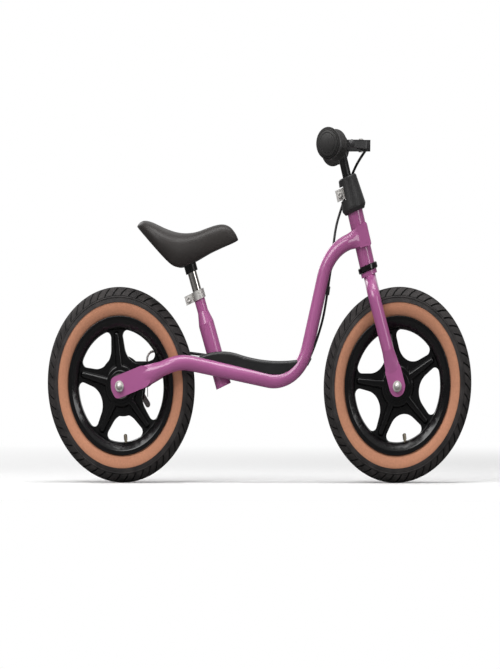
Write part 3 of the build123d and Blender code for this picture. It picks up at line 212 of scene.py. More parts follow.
def tread_pitch():
    """One pitch of the tread round the Y axis, a closed skin on the casing."""
    mesh = bmesh.new()
    cut = mesh.verts.layers.float.new("groove")
    step = 2.0 * math.pi / tread_pitches
    outer = [(a, 1) for a in tread_rows] + [(a, -1) for a in reversed(tread_rows[:-1])]
    inner_rows = tread_rows[::inner_row_step]
    inner = [(a, -1) for a in inner_rows] + [(a, 1) for a in reversed(inner_rows)]
    loops = [(a, s, True) for a, s in outer] + [(a, s, False) for a, s in inner]
    grid = []
    for angle, side, outside in loops:
        lean = math.radians(angle)
        row = []
        for share in tread_columns:
            groove = groove_at(angle, share) if outside else 0.0
            raised = tread_section + rise_at(angle) - groove * groove_depth
            section = raised if outside else casing_section
            radius = section_middle + section * math.cos(lean)
            turn = (share + slant * lean) * step
            sideways = side * section * math.sin(lean)
            vert = mesh.verts.new((radius * math.cos(turn), sideways, radius * math.sin(turn)))
            vert[cut] = groove
            row.append(vert)
        grid.append(row)
    for low, high in zip(grid, grid[1:] + grid[:1]):
        for a, b, c, d in zip(low, low[1:], high[1:], high):
            mesh.faces.new((a, b, c, d))
    bmesh.ops.remove_doubles(mesh, verts=mesh.verts, dist=1e-7)
    bmesh.ops.recalc_face_normals(mesh, faces=mesh.faces)
    return mesh_data(mesh, "tread_pitch")


def ring_tree():
    """Geometry Nodes that set copies of one pitch round an axle along Y."""
    tree = bpy.data.node_groups.new("ring_of_pitches", "GeometryNodeTree")
    kinds = {"Pitch": "Geometry", "Count": "Int", "Hub": "Vector", "Material": "Material"}
    for label, kind in kinds.items():
        tree.interface.new_socket(label, in_out="INPUT", socket_type=f"NodeSocket{kind}")
    tree.interface.new_socket("Ring", in_out="OUTPUT", socket_type="NodeSocketGeometry")
    given = tree.nodes.new("NodeGroupInput").outputs
    wire = Wire(tree)
    count = Wire(tree, given["Count"])
    points = wire.add("GeometryNodePoints", inputs={"Count": count, "Position": Wire(tree, given["Hub"])})
    turn = wire.add("GeometryNodeInputIndex") * (2.0 * math.pi) / count
    turned = wire.add("ShaderNodeCombineXYZ", inputs={"Y": turn})
    copies = wire.add("GeometryNodeInstanceOnPoints", inputs={
        "Points": points, "Instance": Wire(tree, given["Pitch"]), "Rotation": turned})
    whole = wire.add("GeometryNodeRealizeInstances", inputs={"Geometry": copies})
    joined = wire.add("GeometryNodeMergeByDistance", inputs={"Geometry": whole, "Distance": 0.00001})
    dressed = wire.add("GeometryNodeSetMaterial", inputs={
        "Geometry": joined, "Material": Wire(tree, given["Material"])})
    wire.plug(dressed, tree.nodes.new("NodeGroupOutput").inputs["Ring"])
    return tree


def new_piece(name, data):
    piece = bpy.data.objects.new(name, data)
    bpy.context.scene.collection.objects.link(piece)
    return piece


def plain_mesh(host, name):
    """The mesh that a host's modifiers give, as a piece of its own; the host is removed."""
    bpy.context.view_layer.update()
    data = bpy.data.meshes.new_from_object(host.evaluated_get(bpy.context.evaluated_depsgraph_get()))
    bpy.data.objects.remove(host)
    return new_piece(name, data)


def ring_of(pitch, tree, name, count, hub, material):
    """A piece made of copies of a pitch mesh round a hub."""
    host = new_piece(f"{name}_host", pitch)
    modifier = host.modifiers.new("ring", "NODES")
    modifier.node_group = tree
    values = {"Count": count, "Hub": hub, "Material": material}
    for socket in tree.interface.items_tree:
        if socket.in_out == "INPUT" and socket.name in values:
            modifier[socket.identifier] = values[socket.name]
    host.update_tag()
    return plain_mesh(host, name)


ring_nodes = ring_tree()
for end, hub in hubs.items():
    tread = ring_of(tread_pitch(), ring_nodes, f"{end}_tyre_tread", tread_pitches, hub, tread_rubber)
    tread.data.shade_smooth()
    tread.data.set_sharp_from_angle(angle=tread_crease)
    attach(tread, f"{end}_wheel")
    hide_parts(f"{end}_tread")


# Tyre casings: tan rubber walls over woven cords, which show as a faint weave of slanted threads.
# The tan is a little darker next to the rim and next to the tread. The inner tubes are black butyl.
def from_hub(wire, hub):
    """Distance from an axle, in metres, for patterns that go round a wheel."""
    place = wire.add("ShaderNodeTexCoord", output="Object")
    centred = wire.add("ShaderNodeVectorMath", {"operation": "SUBTRACT"}, {0: place, 1: hub})
    flat = wire.add("ShaderNodeVectorMath", {"operation": "MULTIPLY"}, {0: centred, 1: (1.0, 0.0, 1.0)})
    return wire.add("ShaderNodeVectorMath", {"operation": "LENGTH"}, {0: flat}, output="Value")


rim_edge = 0.1135
black_edge = 0.135
for end, hub in hubs.items():
    tan_wall, sockets, wire = finish(f"{end}_tan_wall", {"Specular IOR Level": 0.3, "Sheen Weight": 0.15})
    radius = from_hub(wire, hub)
    share = (radius - rim_edge) / (black_edge - rim_edge)
    mottle = wire.noise(260.0, 6.0)
    specks = wire.noise(700.0, 3.0).ramp((0.62, 0.0), (0.72, 1.0))
    rings = wire.add("ShaderNodeMath", {"operation": "SINE"}, {0: radius * 5200.0})
    # Darker in a band next to the rim, and a little darker next to the tread.
    edge_darkening = share.ramp((0.0, 0.9), (0.10, 0.15), (0.90, 0.0), (1.0, 0.45))
    shade = 0.30 * mottle.ramp((0.3, 0.0), (0.72, 1.0)) + 0.5 * edge_darkening + 0.3 * specks
    wire.plug(shade.tint((0.585, 0.265, 0.155), (0.33, 0.145, 0.085)), sockets["Base Color"])
    wire.plug(0.66 + 0.2 * mottle, sockets["Roughness"])
    wire.plug(wire.bump(0.35 * rings + wire.noise(1100.0, 2.0), 0.00014, 0.6), sockets["Normal"])
    wear(tan_wall, f"{end}_tyre_casing")

butyl, sockets, wire = finish("butyl_rubber", {"Base Color": (0.02, 0.02, 0.021, 1.0)})
wire.plug(0.6 + 0.2 * wire.noise(120.0), sockets["Roughness"])
wear(butyl, "front_inner_tube", "rear_inner_tube")


# Wheels: one moulding of glossy black nylon each, with five spokes that carry raised ribs. The
# mould leaves its edges slightly rounded, and handling polishes them. The two steering bushes are
# pressed into the head tube and moulded from the same nylon.
wheel_nylon, sockets, wire = finish("wheel_nylon", {"Specular IOR Level": 0.5})
flow = wire.noise(24.0, 4.0)
wire.plug(flow.tint((0.0022, 0.0022, 0.0026), (0.0055, 0.0052, 0.0056)), sockets["Base Color"])
wire.plug(0.12 + 0.13 * wire.noise(180.0, 5.0), sockets["Roughness"])
wire.plug(wire.bump(wire.noise(900.0, 2.0), 0.00008, 0.45), sockets["Normal"])

wear(wheel_nylon, "lower_head_bush", "upper_head_bush")

edge_rounds = {0.0125: 0.0021, 0.0204: 0.0012}
flat = 0.9995
level_play = 1e-4
seam = 1e-6
same_plane = math.radians(0.8)
edge_turn = math.radians(25.0)
wheel_crease = math.radians(35.0)


def open_copy(node):
    """A copy of a CAD node's mesh, and a bmesh of it with the seams between its faces joined."""
    copy = cad[node].data.copy()
    mesh = bmesh.new()
    mesh.from_mesh(copy)
    bmesh.ops.remove_doubles(mesh, verts=mesh.verts, dist=seam)
    return copy, mesh


def close_copy(copy, mesh, material):
    """Writes a bmesh back to its copy, which gets this material."""
    mesh.to_mesh(copy)
    mesh.free()
    copy.materials.clear()
    copy.materials.append(material)


def round_level(mesh, level, radius):
    """Rounds the outlines of the flat faces that stand this far from the wheel's middle."""
    faces = [face for face in mesh.faces
             if abs(face.normal.y) > flat and abs(abs(face.calc_center_median().y) - level) < level_play]
    turned_edges = (edge for face in faces for edge in face.edges if edge.calc_face_angle(0.0) > edge_turn)
    outline = list(dict.fromkeys(turned_edges))
    bmesh.ops.bevel(mesh, geom=outline, offset=radius, offset_type="OFFSET", segments=4, profile=0.5,
                    affect="EDGES", clamp_overlap=False)


for end in hubs:
    copy, mesh = open_copy(f"{end}_wheel_moulding")
    bmesh.ops.dissolve_limit(mesh, angle_limit=same_plane, verts=mesh.verts, edges=mesh.edges)
    for level, radius in edge_rounds.items():
        round_level(mesh, level, radius)
    close_copy(copy, mesh, wheel_nylon)
    copy.shade_smooth()
    copy.set_sharp_from_angle(angle=wheel_crease)
    host = new_piece(f"{end}_moulding_host", copy)
    evened = host.modifiers.new("even_faces", "WEIGHTED_NORMAL")
    evened.keep_sharp = True
    wheel = plain_mesh(host, f"{end}_spoked_wheel")
    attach(wheel, f"{end}_wheel")
    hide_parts(f"{end}_wheel_moulding")


# Small steel hardware: axles, cap nuts, both clamp collars, bearings, bolts, pins and the brake's
# arm. It is zinc plated, which leaves a soft cloudy shine, duller in the recesses. The clamps' bolts
# have six-sided recesses for a key.
zinc, sockets, wire = finish("zinc_plate", {"Metallic": 1.0})
cloudy = wire.noise(160.0, 5.0)
wire.plug(cloudy.tint((0.68, 0.66, 0.635), (0.87, 0.85, 0.82)), sockets["Base Color"])
wire.plug(0.44 + 0.2 * cloudy, sockets["Roughness"])
wire.plug(wire.bump(wire.noise(1500.0, 2.0), 0.00005, 0.4), sockets["Normal"])
wear(zinc, "front_axle", "rear_axle", "front_axle_nuts", "rear_axle_nuts", "front_wheel_bearings",
     "rear_wheel_bearings", "seat_clamp", "stem_clamp", "lever_bracket_bolt", "lever_pivot_pin",
     "cable_adjuster", "footboard_screws", "brake_torque_bolt", "brake_arm", "cable_anchor_bolt",
     "shoe_springs", "cable_guide_pipe")

key_width = 0.0052
key_depth = 0.0032
head_chamfer = 0.0007
head_turn = math.radians(75.0)
cut_crease = math.radians(30.0)


def cut_from(host, cutter, name):
    """Takes a cutter's shape out of a host."""
    cut = host.modifiers.new(name, "BOOLEAN")
    cut.operation = "DIFFERENCE"
    cut.object = cutter


for clamp, body in (("stem", "fork"), ("seat", "frame")):
    bolt_mesh, joined = open_copy(f"{clamp}_clamp_bolt")
    close_copy(bolt_mesh, joined, zinc)
    spans = [[vert.co[axis] for vert in bolt_mesh.vertices] for axis in range(3)]
    middle_x, middle_z = ((min(span) + max(span)) / 2 for span in spans[::2])
    key = bmesh.new()
    bmesh.ops.create_cone(key, cap_ends=True, segments=6, radius1=key_width / 2, radius2=key_width / 2,
                          depth=2 * key_depth, matrix=Matrix.Rotation(math.pi / 2, 4, "X"))
    bmesh.ops.translate(key, verts=key.verts, vec=(middle_x, min(spans[1]), middle_z))
    cutter = new_piece(f"{clamp}_key", mesh_data(key, f"{clamp}_key"))
    host = new_piece(f"{clamp}_bolt_host", bolt_mesh)
    cut_from(host, cutter, "key_recess")
    edge = host.modifiers.new("head_edge", "BEVEL")
    edge.width = head_chamfer
    edge.segments = 2
    edge.limit_method = "ANGLE"
    edge.angle_limit = head_turn
    bolt = plain_mesh(host, f"{clamp}_socket_bolt")
    bpy.data.objects.remove(cutter)
    bolt.data.shade_smooth()
    bolt.data.set_sharp_from_angle(angle=cut_crease)
    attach(bolt, body)
    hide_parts(f"{clamp}_clamp_bolt")


# Bright work: seat post and rear dust ring. They are chromed steel, drawn or pressed first, so fine
# lines run along the post under the plating.
chrome, sockets, wire = finish("chrome_plate", {"Metallic": 1.0})
drawn = wire.noise(900.0, 3.0, (1.0, 1.0, 0.04))
wire.plug(wire.noise(40.0, 3.0).tint((0.62, 0.585, 0.55), (0.78, 0.745, 0.71)), sockets["Base Color"])
wire.plug(0.09 + 0.10 * drawn, sockets["Roughness"])
wire.plug(wire.bump(drawn, 0.00003, 0.4), sockets["Normal"])
wear(chrome, "seat_post", "rear_dust_ring")


# Valves: nickel-plated brass stems in a rubber foot, with a knurled cap. They stand inwards from
# the rim between two spokes, where a pump reaches them.
nickel, sockets, wire = finish("valve_nickel", {"Metallic": 1.0})
turned_marks = wire.noise(700.0, 2.0)
wire.plug(turned_marks.tint((0.40, 0.34, 0.25), (0.66, 0.59, 0.47)), sockets["Base Color"])
wire.plug(0.26 + 0.2 * turned_marks, sockets["Roughness"])
wire.plug(wire.bump(wire.noise(2200.0, 1.0), 0.0001, 0.6), sockets["Normal"])
wear(nickel, "front_valve", "rear_valve")


# Moulded plastic: stem cover, lever bracket, lever and cable clips in black nylon with a fine spark
# grain, shinier where hands rub it. The footboard is a smoother, darker moulding that shoes polish.
nylon, sockets, wire = finish("grained_nylon", {"Specular IOR Level": 0.5})
rubbed = wire.noise(18.0, 4.0).ramp((0.35, 0.0), (0.7, 1.0))
spark = wire.noise(1500.0, 2.0)
wire.plug(rubbed.tint((0.021, 0.0205, 0.021), (0.034, 0.033, 0.034)), sockets["Base Color"])
wire.plug(0.50 - 0.14 * rubbed, sockets["Roughness"])
wire.plug(wire.bump(spark, 0.00010, 0.55), sockets["Normal"])
wear(nylon, "stem_cover", "lever_bracket", "brake_lever", "cable_clips")

board, sockets, wire = finish("footboard_rubber", {"Specular IOR Level": 0.5})
scuffs = wire.noise(70.0, 5.0, (0.35, 1.0, 1.0))
wire.plug(scuffs.tint((0.009, 0.009, 0.0095), (0.017, 0.0165, 0.017)), sockets["Base Color"])
wire.plug(0.26 + 0.2 * scuffs, sockets["Roughness"])
wire.plug(wire.bump(wire.noise(1300.0, 2.0), 0.00008, 0.4), sockets["Normal"])
wear(board, "footboard")


# Handlebar and saddle bracket: a steel stem and swept bar, and a pressed strap round the post's
# head. Both are welded and powder coated in satin black.
powder, sockets, wire = finish("black_powder_coat", {"Specular IOR Level": 0.5})
pebble = wire.noise(1000.0, 2.0)
fading = wire.noise(20.0, 3.0)
wire.plug(fading.tint((0.0055, 0.0055, 0.006), (0.010, 0.0097, 0.010)), sockets["Base Color"])
wire.plug(0.30 + 0.12 * pebble, sockets["Roughness"])
wire.plug(wire.bump(pebble, 0.00008, 0.5), sockets["Normal"])
wear(powder, "handlebar", "saddle_bracket")


# Drum brake: pressed drum and back plate in black enamel over cast shoes with bonded linings. The
# shoes are bare alloy, still rough from the mould.
enamel, sockets, wire = finish("brake_enamel", {"Coat Weight": 0.3, "Coat Roughness": 0.2})
wire.plug(wire.noise(30.0, 4.0).tint((0.012, 0.012, 0.013), (0.028, 0.027, 0.027)), sockets["Base Color"])
wire.plug(0.38 + 0.14 * wire.noise(260.0, 3.0), sockets["Roughness"])
wire.plug(wire.bump(wire.noise(500.0, 2.0), 0.0001, 0.4), sockets["Normal"])
wear(enamel, "brake_drum", "brake_back_plate")

cast_alloy, sockets, wire = finish("cast_alloy", {"Metallic": 1.0})
wire.plug(wire.noise(200.0, 4.0).tint((0.36, 0.36, 0.37), (0.55, 0.55, 0.56)), sockets["Base Color"])
wire.plug(0.45 + 0.2 * wire.noise(400.0, 3.0), sockets["Roughness"])
wire.plug(wire.bump(wire.noise(800.0, 2.0), 0.0002, 0.6), sockets["Normal"])
wear(cast_alloy, "upper_brake_shoe", "lower_brake_shoe")


# Grips: soft black rubber pushed on the bar, with fine rings round the handle, a collar against
# the lever and a stepped mushroom end that keeps hands from sliding off. Three grooves ring its face.
rubber, sockets, wire = finish("grip_rubber", {"Specular IOR Level": 0.35, "Sheen Weight": 0.1})
place = wire.add("ShaderNodeTexCoord", output="Object")
along = wire.add("ShaderNodeSeparateXYZ", inputs={"Vector": place}, output="Y")
rings = wire.add("ShaderNodeMath", {"operation": "SINE"}, {0: along * 2100.0})
skin = wire.noise(1300.0, 2.0)
wire.plug(wire.noise(35.0, 4.0).tint((0.020, 0.0195, 0.019), (0.036, 0.034, 0.033)), sockets["Base Color"])
wire.plug(0.62 + 0.16 * skin, sockets["Roughness"])
wire.plug(wire.bump(0.6 * rings + skin, 0.00022, 0.5), sockets["Normal"])

bar_sweep = math.radians(7.0)
end_grooves = [(0.0219, 0.0148), (0.0193, 0.0108), (0.0155, 0.0048)]
rod_radius = 0.0009
rod_steps = 72
rod_sides = 10
rod_phase = 0.37
straight_up = Vector((0.0, 0.0, 1.0))


def groove_cutter(name, tip, axis):
    """Round rods bent to rings about a grip's axis, each with its radius and depth below the tip."""
    across = axis.cross(straight_up)
    angles = [2.0 * math.pi * (side + rod_phase) / rod_sides for side in range(rod_sides)]
    mesh = bmesh.new()
    for radius, depth in end_grooves:
        rows = []
        for step in range(rod_steps):
            turn = 2.0 * math.pi * (step + rod_phase) / rod_steps
            out = across * math.cos(turn) + straight_up * math.sin(turn)
            middle = tip - axis * depth + out * radius
            spokes = [out * math.cos(angle) + axis * math.sin(angle) for angle in angles]
            rows.append([mesh.verts.new(middle + rod_radius * spoke) for spoke in spokes])
        for row, after in zip(rows, rows[1:] + rows[:1]):
            for side in range(rod_sides):
                beside = (side + 1) % rod_sides
                mesh.faces.new((row[side], row[beside], after[beside], after[side]))
    bmesh.ops.recalc_face_normals(mesh, faces=mesh.faces)
    return new_piece(name, mesh_data(mesh, name))


for hand, side in (("right", -1.0), ("left", 1.0)):
    grip_mesh, joined = open_copy(f"{hand}_grip")
    close_copy(grip_mesh, joined, rubber)
    grip_axis = Vector((-math.sin(bar_sweep), side * math.cos(bar_sweep), 0.0))
    tip = max((vert.co for vert in grip_mesh.vertices), key=grip_axis.dot)
    cutter = groove_cutter(f"{hand}_groove_rods", tip, grip_axis)
    host = new_piece(f"{hand}_grip_host", grip_mesh)
    cut_from(host, cutter, "end_rings")
    grip = plain_mesh(host, f"{hand}_ringed_grip")
    bpy.data.objects.remove(cutter)
    grip.data.shade_smooth()
    grip.data.set_sharp_from_angle(angle=cut_crease)
    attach(grip, "handlebar")
    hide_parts(f"{hand}_grip")


# Saddle: black foam with a grained skin moulded in one piece, high at the tail, dished in the
# middle and narrow at the nose. It is pulled down over its base and has no seam.
saddle_top = [(-256.9, 413.5), (-252.0, 419.0), (-243.6, 422.8), (-225.2, 419.5), (-198.6, 409.6),
              (-174.0, 403.4), (-153.5, 401.9), (-132.9, 403.8), (-112.6, 409.6), (-92.0, 415.0),
              (-75.8, 416.6), (-61.4, 412.9), (-51.2, 403.8), (-45.0, 393.0)]
saddle_under = [(-256.9, 411.5), (-252.0, 407.5), (-235.5, 393.7), (-204.6, 367.8), (-184.3, 352.4),
                (-170.0, 347.8), (-153.5, 351.6), (-132.9, 359.3), (-102.3, 372.3), (-71.5, 382.4),
                (-55.0, 387.0), (-45.0, 391.0)]
saddle_half = [(-256.9, 16.0), (-252.0, 38.0), (-243.6, 50.0), (-225.2, 61.0), (-204.6, 65.0),
               (-184.0, 62.0), (-160.0, 52.0), (-132.9, 38.0), (-105.0, 28.5), (-75.0, 22.0),
               (-58.0, 18.0), (-49.0, 12.5), (-45.0, 5.0)]
saddle_stations = 40
saddle_profile = [(0.0, 0.02), (0.42, 0.02), (0.64, 0.0), (0.78, -0.035), (0.90, 0.035), (0.975, 0.22),
                  (1.0, 0.45), (0.965, 0.66), (0.86, 0.82), (0.66, 0.925), (0.38, 0.98), (0.0, 1.0)]
height_easing = 9.0
width_easing = 10.0
millimetre = 0.001


def along_curve(points, x):
    """The height of a line through points at a place along the saddle."""
    for (x0, y0), (x1, y1) in zip(points, points[1:]):
        if x <= x1:
            return y0 + (y1 - y0) * (x - x0) / (x1 - x0)
    return points[-1][1]


def smooth_curve(points, x, reach):
    """The same line with its corners eased over a reach to both sides."""
    low, high = points[0][0], points[-1][0]
    spread = min(reach, x - low, high - x)
    places = [x + spread * k / 3.0 for k in (-3, -2, -1, 0, 1, 2, 3)]
    weights = [1, 2, 3, 4, 3, 2, 1]
    return sum(w * along_curve(points, p) for w, p in zip(weights, places)) / sum(weights)


def saddle_ring(x, section):
    """One cross-section: an underside with a lip round the base, drawn-in sides and a crowned top."""
    top = smooth_curve(saddle_top, x, height_easing)
    under = smooth_curve(saddle_under, x, height_easing)
    half = smooth_curve(saddle_half, x, width_easing)
    right = [(half * wide, under + (top - under) * high) for wide, high in section]
    left = [(-wide, high) for wide, high in reversed(right[1:-1])]
    return [Vector((x, wide, high)) * millimetre for wide, high in right + left]


def skin_rings(name, places, section):
    """A closed mesh through cross-sections, with its ends drawn to a point."""
    mesh = bmesh.new()
    rings = [[mesh.verts.new(point) for point in saddle_ring(x, section)] for x in places]
    count = len(rings[0])
    for low, high in zip(rings, rings[1:]):
        for k in range(count):
            after = (k + 1) % count
            mesh.faces.new((low[k], low[after], high[after], high[k]))
    for end_ring in (rings[0], rings[-1]):
        middle = mesh.verts.new(sum((vert.co for vert in end_ring), Vector()) / count)
        for k in range(count):
            mesh.faces.new((end_ring[k], end_ring[(k + 1) % count], middle))
    bmesh.ops.recalc_face_normals(mesh, faces=mesh.faces)
    data = mesh_data(mesh, name)
    data.shade_smooth()
    return data


first, last = saddle_top[0][0], saddle_top[-1][0]
shares = [0.5 - 0.5 * math.cos(math.pi * k / saddle_stations) for k in range(saddle_stations + 1)]
saddle_places = [first + (last - first) * share for share in shares]
saddle_mesh = skin_rings("padded_saddle", saddle_places, saddle_profile)

vinyl, sockets, wire = finish("saddle_skin", {"Specular IOR Level": 0.4})
place = wire.add("ShaderNodeTexCoord", output="Object")
hide = wire.add("ShaderNodeTexVoronoi", {"feature": "DISTANCE_TO_EDGE"}, {"Vector": place, "Scale": 900.0})
polish = wire.noise(16.0, 3.0).ramp((0.3, 0.0), (0.7, 1.0))
wire.plug(polish.tint((0.023, 0.0195, 0.0180), (0.033, 0.0285, 0.0265)), sockets["Base Color"])
wire.plug(0.50 - 0.08 * polish + 0.05 * wire.noise(500.0, 2.0), sockets["Roughness"])
wire.plug(wire.bump(hide.ramp((0.0, 0.0), (0.25, 1.0)), 0.00008, 0.35), sockets["Normal"])

saddle_mesh.materials.append(vinyl)
saddle = new_piece("padded_saddle", saddle_mesh)
rounding = saddle.modifiers.new("rounding", "SUBSURF")
rounding.levels = 2
rounding.render_levels = 2
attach(saddle, "seat")
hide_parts("saddle_cover")

pan_profile = [(0.0, -0.006), (0.30, -0.006), (0.52, 0.0), (0.60, 0.03), (0.61, 0.08), (0.58, 0.15),
               (0.0, 0.15)]
pan_crease = math.radians(40.0)
pan_rear, pan_front, pan_stations = -233.0, -78.0, 26
pan_places = [pan_rear + (pan_front - pan_rear) * k / pan_stations for k in range(pan_stations + 1)]
pan_mesh = skin_rings("saddle_pan", pan_places, pan_profile)
pan_mesh.materials.append(nylon)
pan_mesh.set_sharp_from_angle(angle=pan_crease)
pan = new_piece("saddle_pan", pan_mesh)
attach(pan, "seat")
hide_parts("saddle_base")


# Brake cable: black plastic housing over coiled steel, from the lever's adjuster past the head, in
# clips down the frame and under the footboard to the guide pipe. Its stretches at the two sliding
# and turning joints are fixed curves on no body.
cable_radius = 0.0025
wire_radius = 0.0008
cable_to_head = [(226.2, -46.0, 534.1), (226.2, -32.0, 534.1), (222.5, -14.0, 529.5), (212.0, 2.0, 519.0),
                 (199.0, 17.0, 503.0), (192.5, 21.5, 490.5)]
cable_at_head = [(192.5, 21.5, 490.5), (186.0, 26.0, 478.0), (174.5, 26.0, 447.0), (162.0, 16.0, 417.0),
                 (157.0, 3.0, 388.0), (153.5, 0.0, 356.0), (148.0, 0.0, 326.0), (145.5, 0.0, 312.0)]
cable_down_frame = [(145.5, 0.0, 312.0), (143.0, 0.0, 298.0), (136.5, 0.0, 268.0), (126.0, 0.0, 240.0),
                    (113.0, 0.0, 212.0), (97.0, 0.0, 188.0), (72.0, 1.0, 170.0), (38.0, 2.0, 166.5),
                    (-2.0, 4.0, 171.0), (-36.0, 8.5, 182.5), (-62.0, 17.0, 199.0), (-92.0, 27.0, 205.5),
                    (-126.0, 32.0, 210.0), (-164.0, 41.25, 213.3), (-190.0, 41.25, 214.0)]
wire_down = [(-244.0, 41.25, 199.0), (-244.0, 41.25, 190.0), (-244.0, 41.25, 160.0), (-244.0, 41.25, 141.2)]

housing, sockets, wire = finish("cable_housing", {"Specular IOR Level": 0.5})
wire.plug(wire.noise(90.0, 3.0).tint((0.010, 0.010, 0.0105), (0.022, 0.0215, 0.022)), sockets["Base Color"])
wire.plug(0.36 + 0.14 * wire.noise(700.0, 2.0), sockets["Roughness"])
wire.plug(wire.bump(wire.noise(1600.0, 1.0), 0.0001, 0.5), sockets["Normal"])


def metres(place):
    return tuple(value * millimetre for value in place)


def cable_piece(name, points, radius, material):
    """A round cable on one smooth curve through its route."""
    curve = bpy.data.curves.new(name, "CURVE")
    curve.dimensions = "3D"
    curve.bevel_depth = radius
    curve.bevel_resolution = 4
    curve.resolution_u = 10
    curve.use_fill_caps = True
    spline = curve.splines.new("NURBS")
    spline.points.add(len(points) - 1)
    for point, place in zip(spline.points, points):
        point.co = (*metres(place), 1.0)
    spline.order_u = 3
    spline.use_endpoint_u = True
    curve.materials.append(material)
    piece = plain_mesh(new_piece(f"{name}_host", curve), name)
    piece.data.shade_smooth()
    return piece


upper_cable = cable_piece("upper_cable", cable_to_head, cable_radius, housing)
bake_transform(upper_cable)
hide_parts("brake_cable_upper")

cable_loop = cable_piece("cable_loop", cable_at_head, cable_radius, housing)
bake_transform(cable_loop)
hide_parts("brake_cable_loop")

lower_cable = cable_piece("lower_cable", cable_down_frame, cable_radius, housing)
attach(lower_cable, "frame")
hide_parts("brake_cable_lower")

bare_wire = cable_piece("bare_brake_wire", wire_down, wire_radius, zinc)
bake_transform(bare_wire)
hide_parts("brake_wire")


# Studio table: a pale matt floor that fades to the white of the room, three soft boxes and a broad
# light overhead. The paint and the nylon mirror a bright canopy and backdrop.
shown_floor = (0.95, 0.95, 0.95)
lit_floor = (0.40, 0.40, 0.40)
mirrored_floor = (0.16, 0.16, 0.16)
fade_behind = (0.3, 3.6)
fade_before = (-0.3, -1.1)
fade_beside = (0.8, 2.2)
floor_reach = 6.0
table = bmesh.new()
bmesh.ops.create_grid(table, x_segments=8, y_segments=8, size=floor_reach)
table_mesh = mesh_data(table, "floor")
floor = new_piece("floor", table_mesh)
pale, sockets, wire = finish("pale_floor", {"Roughness": 0.9, "Specular IOR Level": 0.1})
place = wire.add("ShaderNodeTexCoord", output="Object")
inwards = wire.add("ShaderNodeSeparateXYZ", inputs={"Vector": place}, output="Y")
along = wire.add("ShaderNodeSeparateXYZ", inputs={"Vector": place}, output="X")
beside = wire.math("ABSOLUTE", along)
fade = 0.0
for away, (near, far) in ((inwards, fade_behind), (inwards, fade_before), (beside, fade_beside)):
    edge = wire.add("ShaderNodeMapRange", {"interpolation_type": "SMOOTHSTEP"}, {
        "Value": away, "From Min": near, "From Max": far})
    fade = wire.math("MAXIMUM", edge, fade)
white = wire.add("ShaderNodeEmission", inputs={"Color": (1.0, 1.0, 1.0, 1.0), "Strength": 1.0})
rays = wire.add("ShaderNodeLightPath", output="Is Camera Ray")
glossy = wire.add("ShaderNodeLightPath", output="Is Glossy Ray")
floor_colour = rays.mix(glossy.tint(lit_floor, mirrored_floor), (*shown_floor, 1.0))
wire.plug(floor_colour, sockets["Base Color"])
surface = Wire(pale.node_tree, pale.node_tree.nodes["Principled BSDF"].outputs[0])
mixed = wire.add("ShaderNodeMixShader", inputs={0: fade * rays, 1: surface, 2: white})
wire.plug(mixed, pale.node_tree.nodes["Material Output"].inputs["Surface"])
table_mesh.materials.append(pale)

room_light = 0.28
canopy_rise, canopy_light = (0.20, 0.90), (0.11, 0.45)
backdrop_rise, backdrop_light = (0.55, 0.95), (0.0, 0.6)
room = bpy.data.worlds.new("room")
bpy.context.scene.world = room
room.use_nodes = True
wire = Wire(room.node_tree)
seen = wire.add("ShaderNodeLightPath", output="Is Camera Ray")
mirrored = wire.add("ShaderNodeLightPath", output="Is Glossy Ray")
through = wire.add("ShaderNodeLightPath", output="Is Transmission Ray")
view = wire.add("ShaderNodeTexCoord", output="Generated")
glow = 0.0
for axis, rise, light in (("Z", canopy_rise, canopy_light), ("Y", backdrop_rise, backdrop_light)):
    lean = wire.add("ShaderNodeSeparateXYZ", inputs={"Vector": view}, output=axis)
    glow = glow + wire.add("ShaderNodeMapRange", {"interpolation_type": "SMOOTHSTEP"}, {
        "Value": lean, "From Min": rise[0], "From Max": rise[1], "To Min": light[0], "To Max": light[1]})
shown = wire.math("MAXIMUM", seen, through)
strength = room_light + (1.0 - room_light) * shown + (glow - room_light) * mirrored
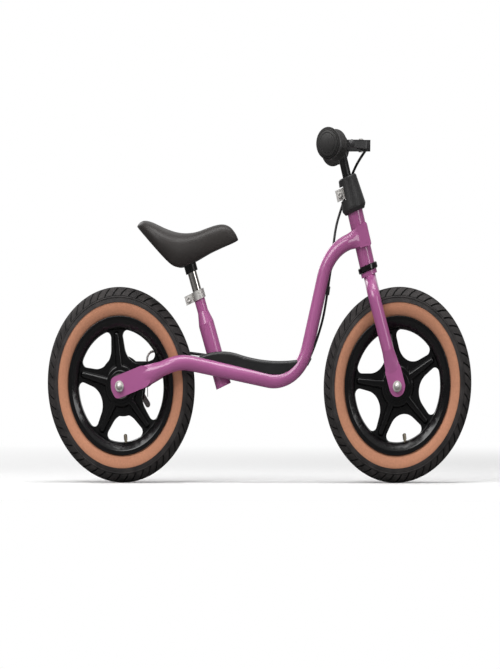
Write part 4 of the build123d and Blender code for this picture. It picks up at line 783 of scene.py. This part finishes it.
wire.plug(strength, room.node_tree.nodes["Background"].inputs["Strength"])
room.node_tree.nodes["Background"].inputs["Color"].default_value = (1.0, 1.0, 1.0, 1.0)


def soft_box(name, place, target, size, power):
    lamp = bpy.data.lights.new(name, "AREA")
    lamp.shape = "RECTANGLE"
    lamp.size, lamp.size_y = size
    lamp.energy = power
    box = new_piece(name, lamp)
    box.location = place
    box.rotation_euler = (Vector(target) - Vector(place)).to_track_quat("-Z", "Y").to_euler()


lit_middle = (0.0, 0.0, 0.25)
soft_box("key_box", (-1.3, -2.4, 2.0), lit_middle, (2.0, 1.5), 52.0)
soft_box("fill_box", (2.2, -2.0, 1.1), lit_middle, (0.7, 1.2), 12.0)
soft_box("back_box", (-1.7, 2.4, 1.6), lit_middle, (1.6, 1.2), 20.0)
soft_box("overhead", (0.2, -0.5, 2.5), (0.0, 0.0, 0.2), (2.0, 1.2), 40.0)


# Camera: nearly square to the bike's right side, a little above the axles and turned towards its
# front. The photograph was pressed narrower in its frame, so the camera's upright axis is drawn
# out by the same amount.
picture = (500.0, 669.0)
shown_width = 1.0703
camera_far = 10.0
looked_at = Vector((-0.0198, 0.0, 0.2422))
turned = math.radians(2.5)
squeeze = math.acos(picture[0] / picture[1])
lens = bpy.data.cameras.new("camera")
lens.sensor_width = 36.0
lens.lens = lens.sensor_width * camera_far / (shown_width * picture[1] / picture[0])
lens.clip_end = 60.0
camera = new_piece("camera", lens)
stand = new_piece("camera_stand", None)
right = Vector((math.cos(turned), math.sin(turned), 0.0))
towards = Vector((math.sin(turned), -math.cos(turned), 0.0))
upright = Vector((0.0, 0.0, math.cos(squeeze))) - math.sin(squeeze) * towards
camera_place = looked_at + camera_far * towards
camera.parent = stand
camera.matrix_parent_inverse = Matrix((
    (right.x, upright.x, towards.x, camera_place.x),
    (right.y, upright.y, towards.y, camera_place.y),
    (right.z, upright.z, towards.z, camera_place.z),
    (0.0, 0.0, 0.0, 1.0)))
bpy.context.scene.camera = camera
bpy.context.scene.view_settings.view_transform = "Standard"
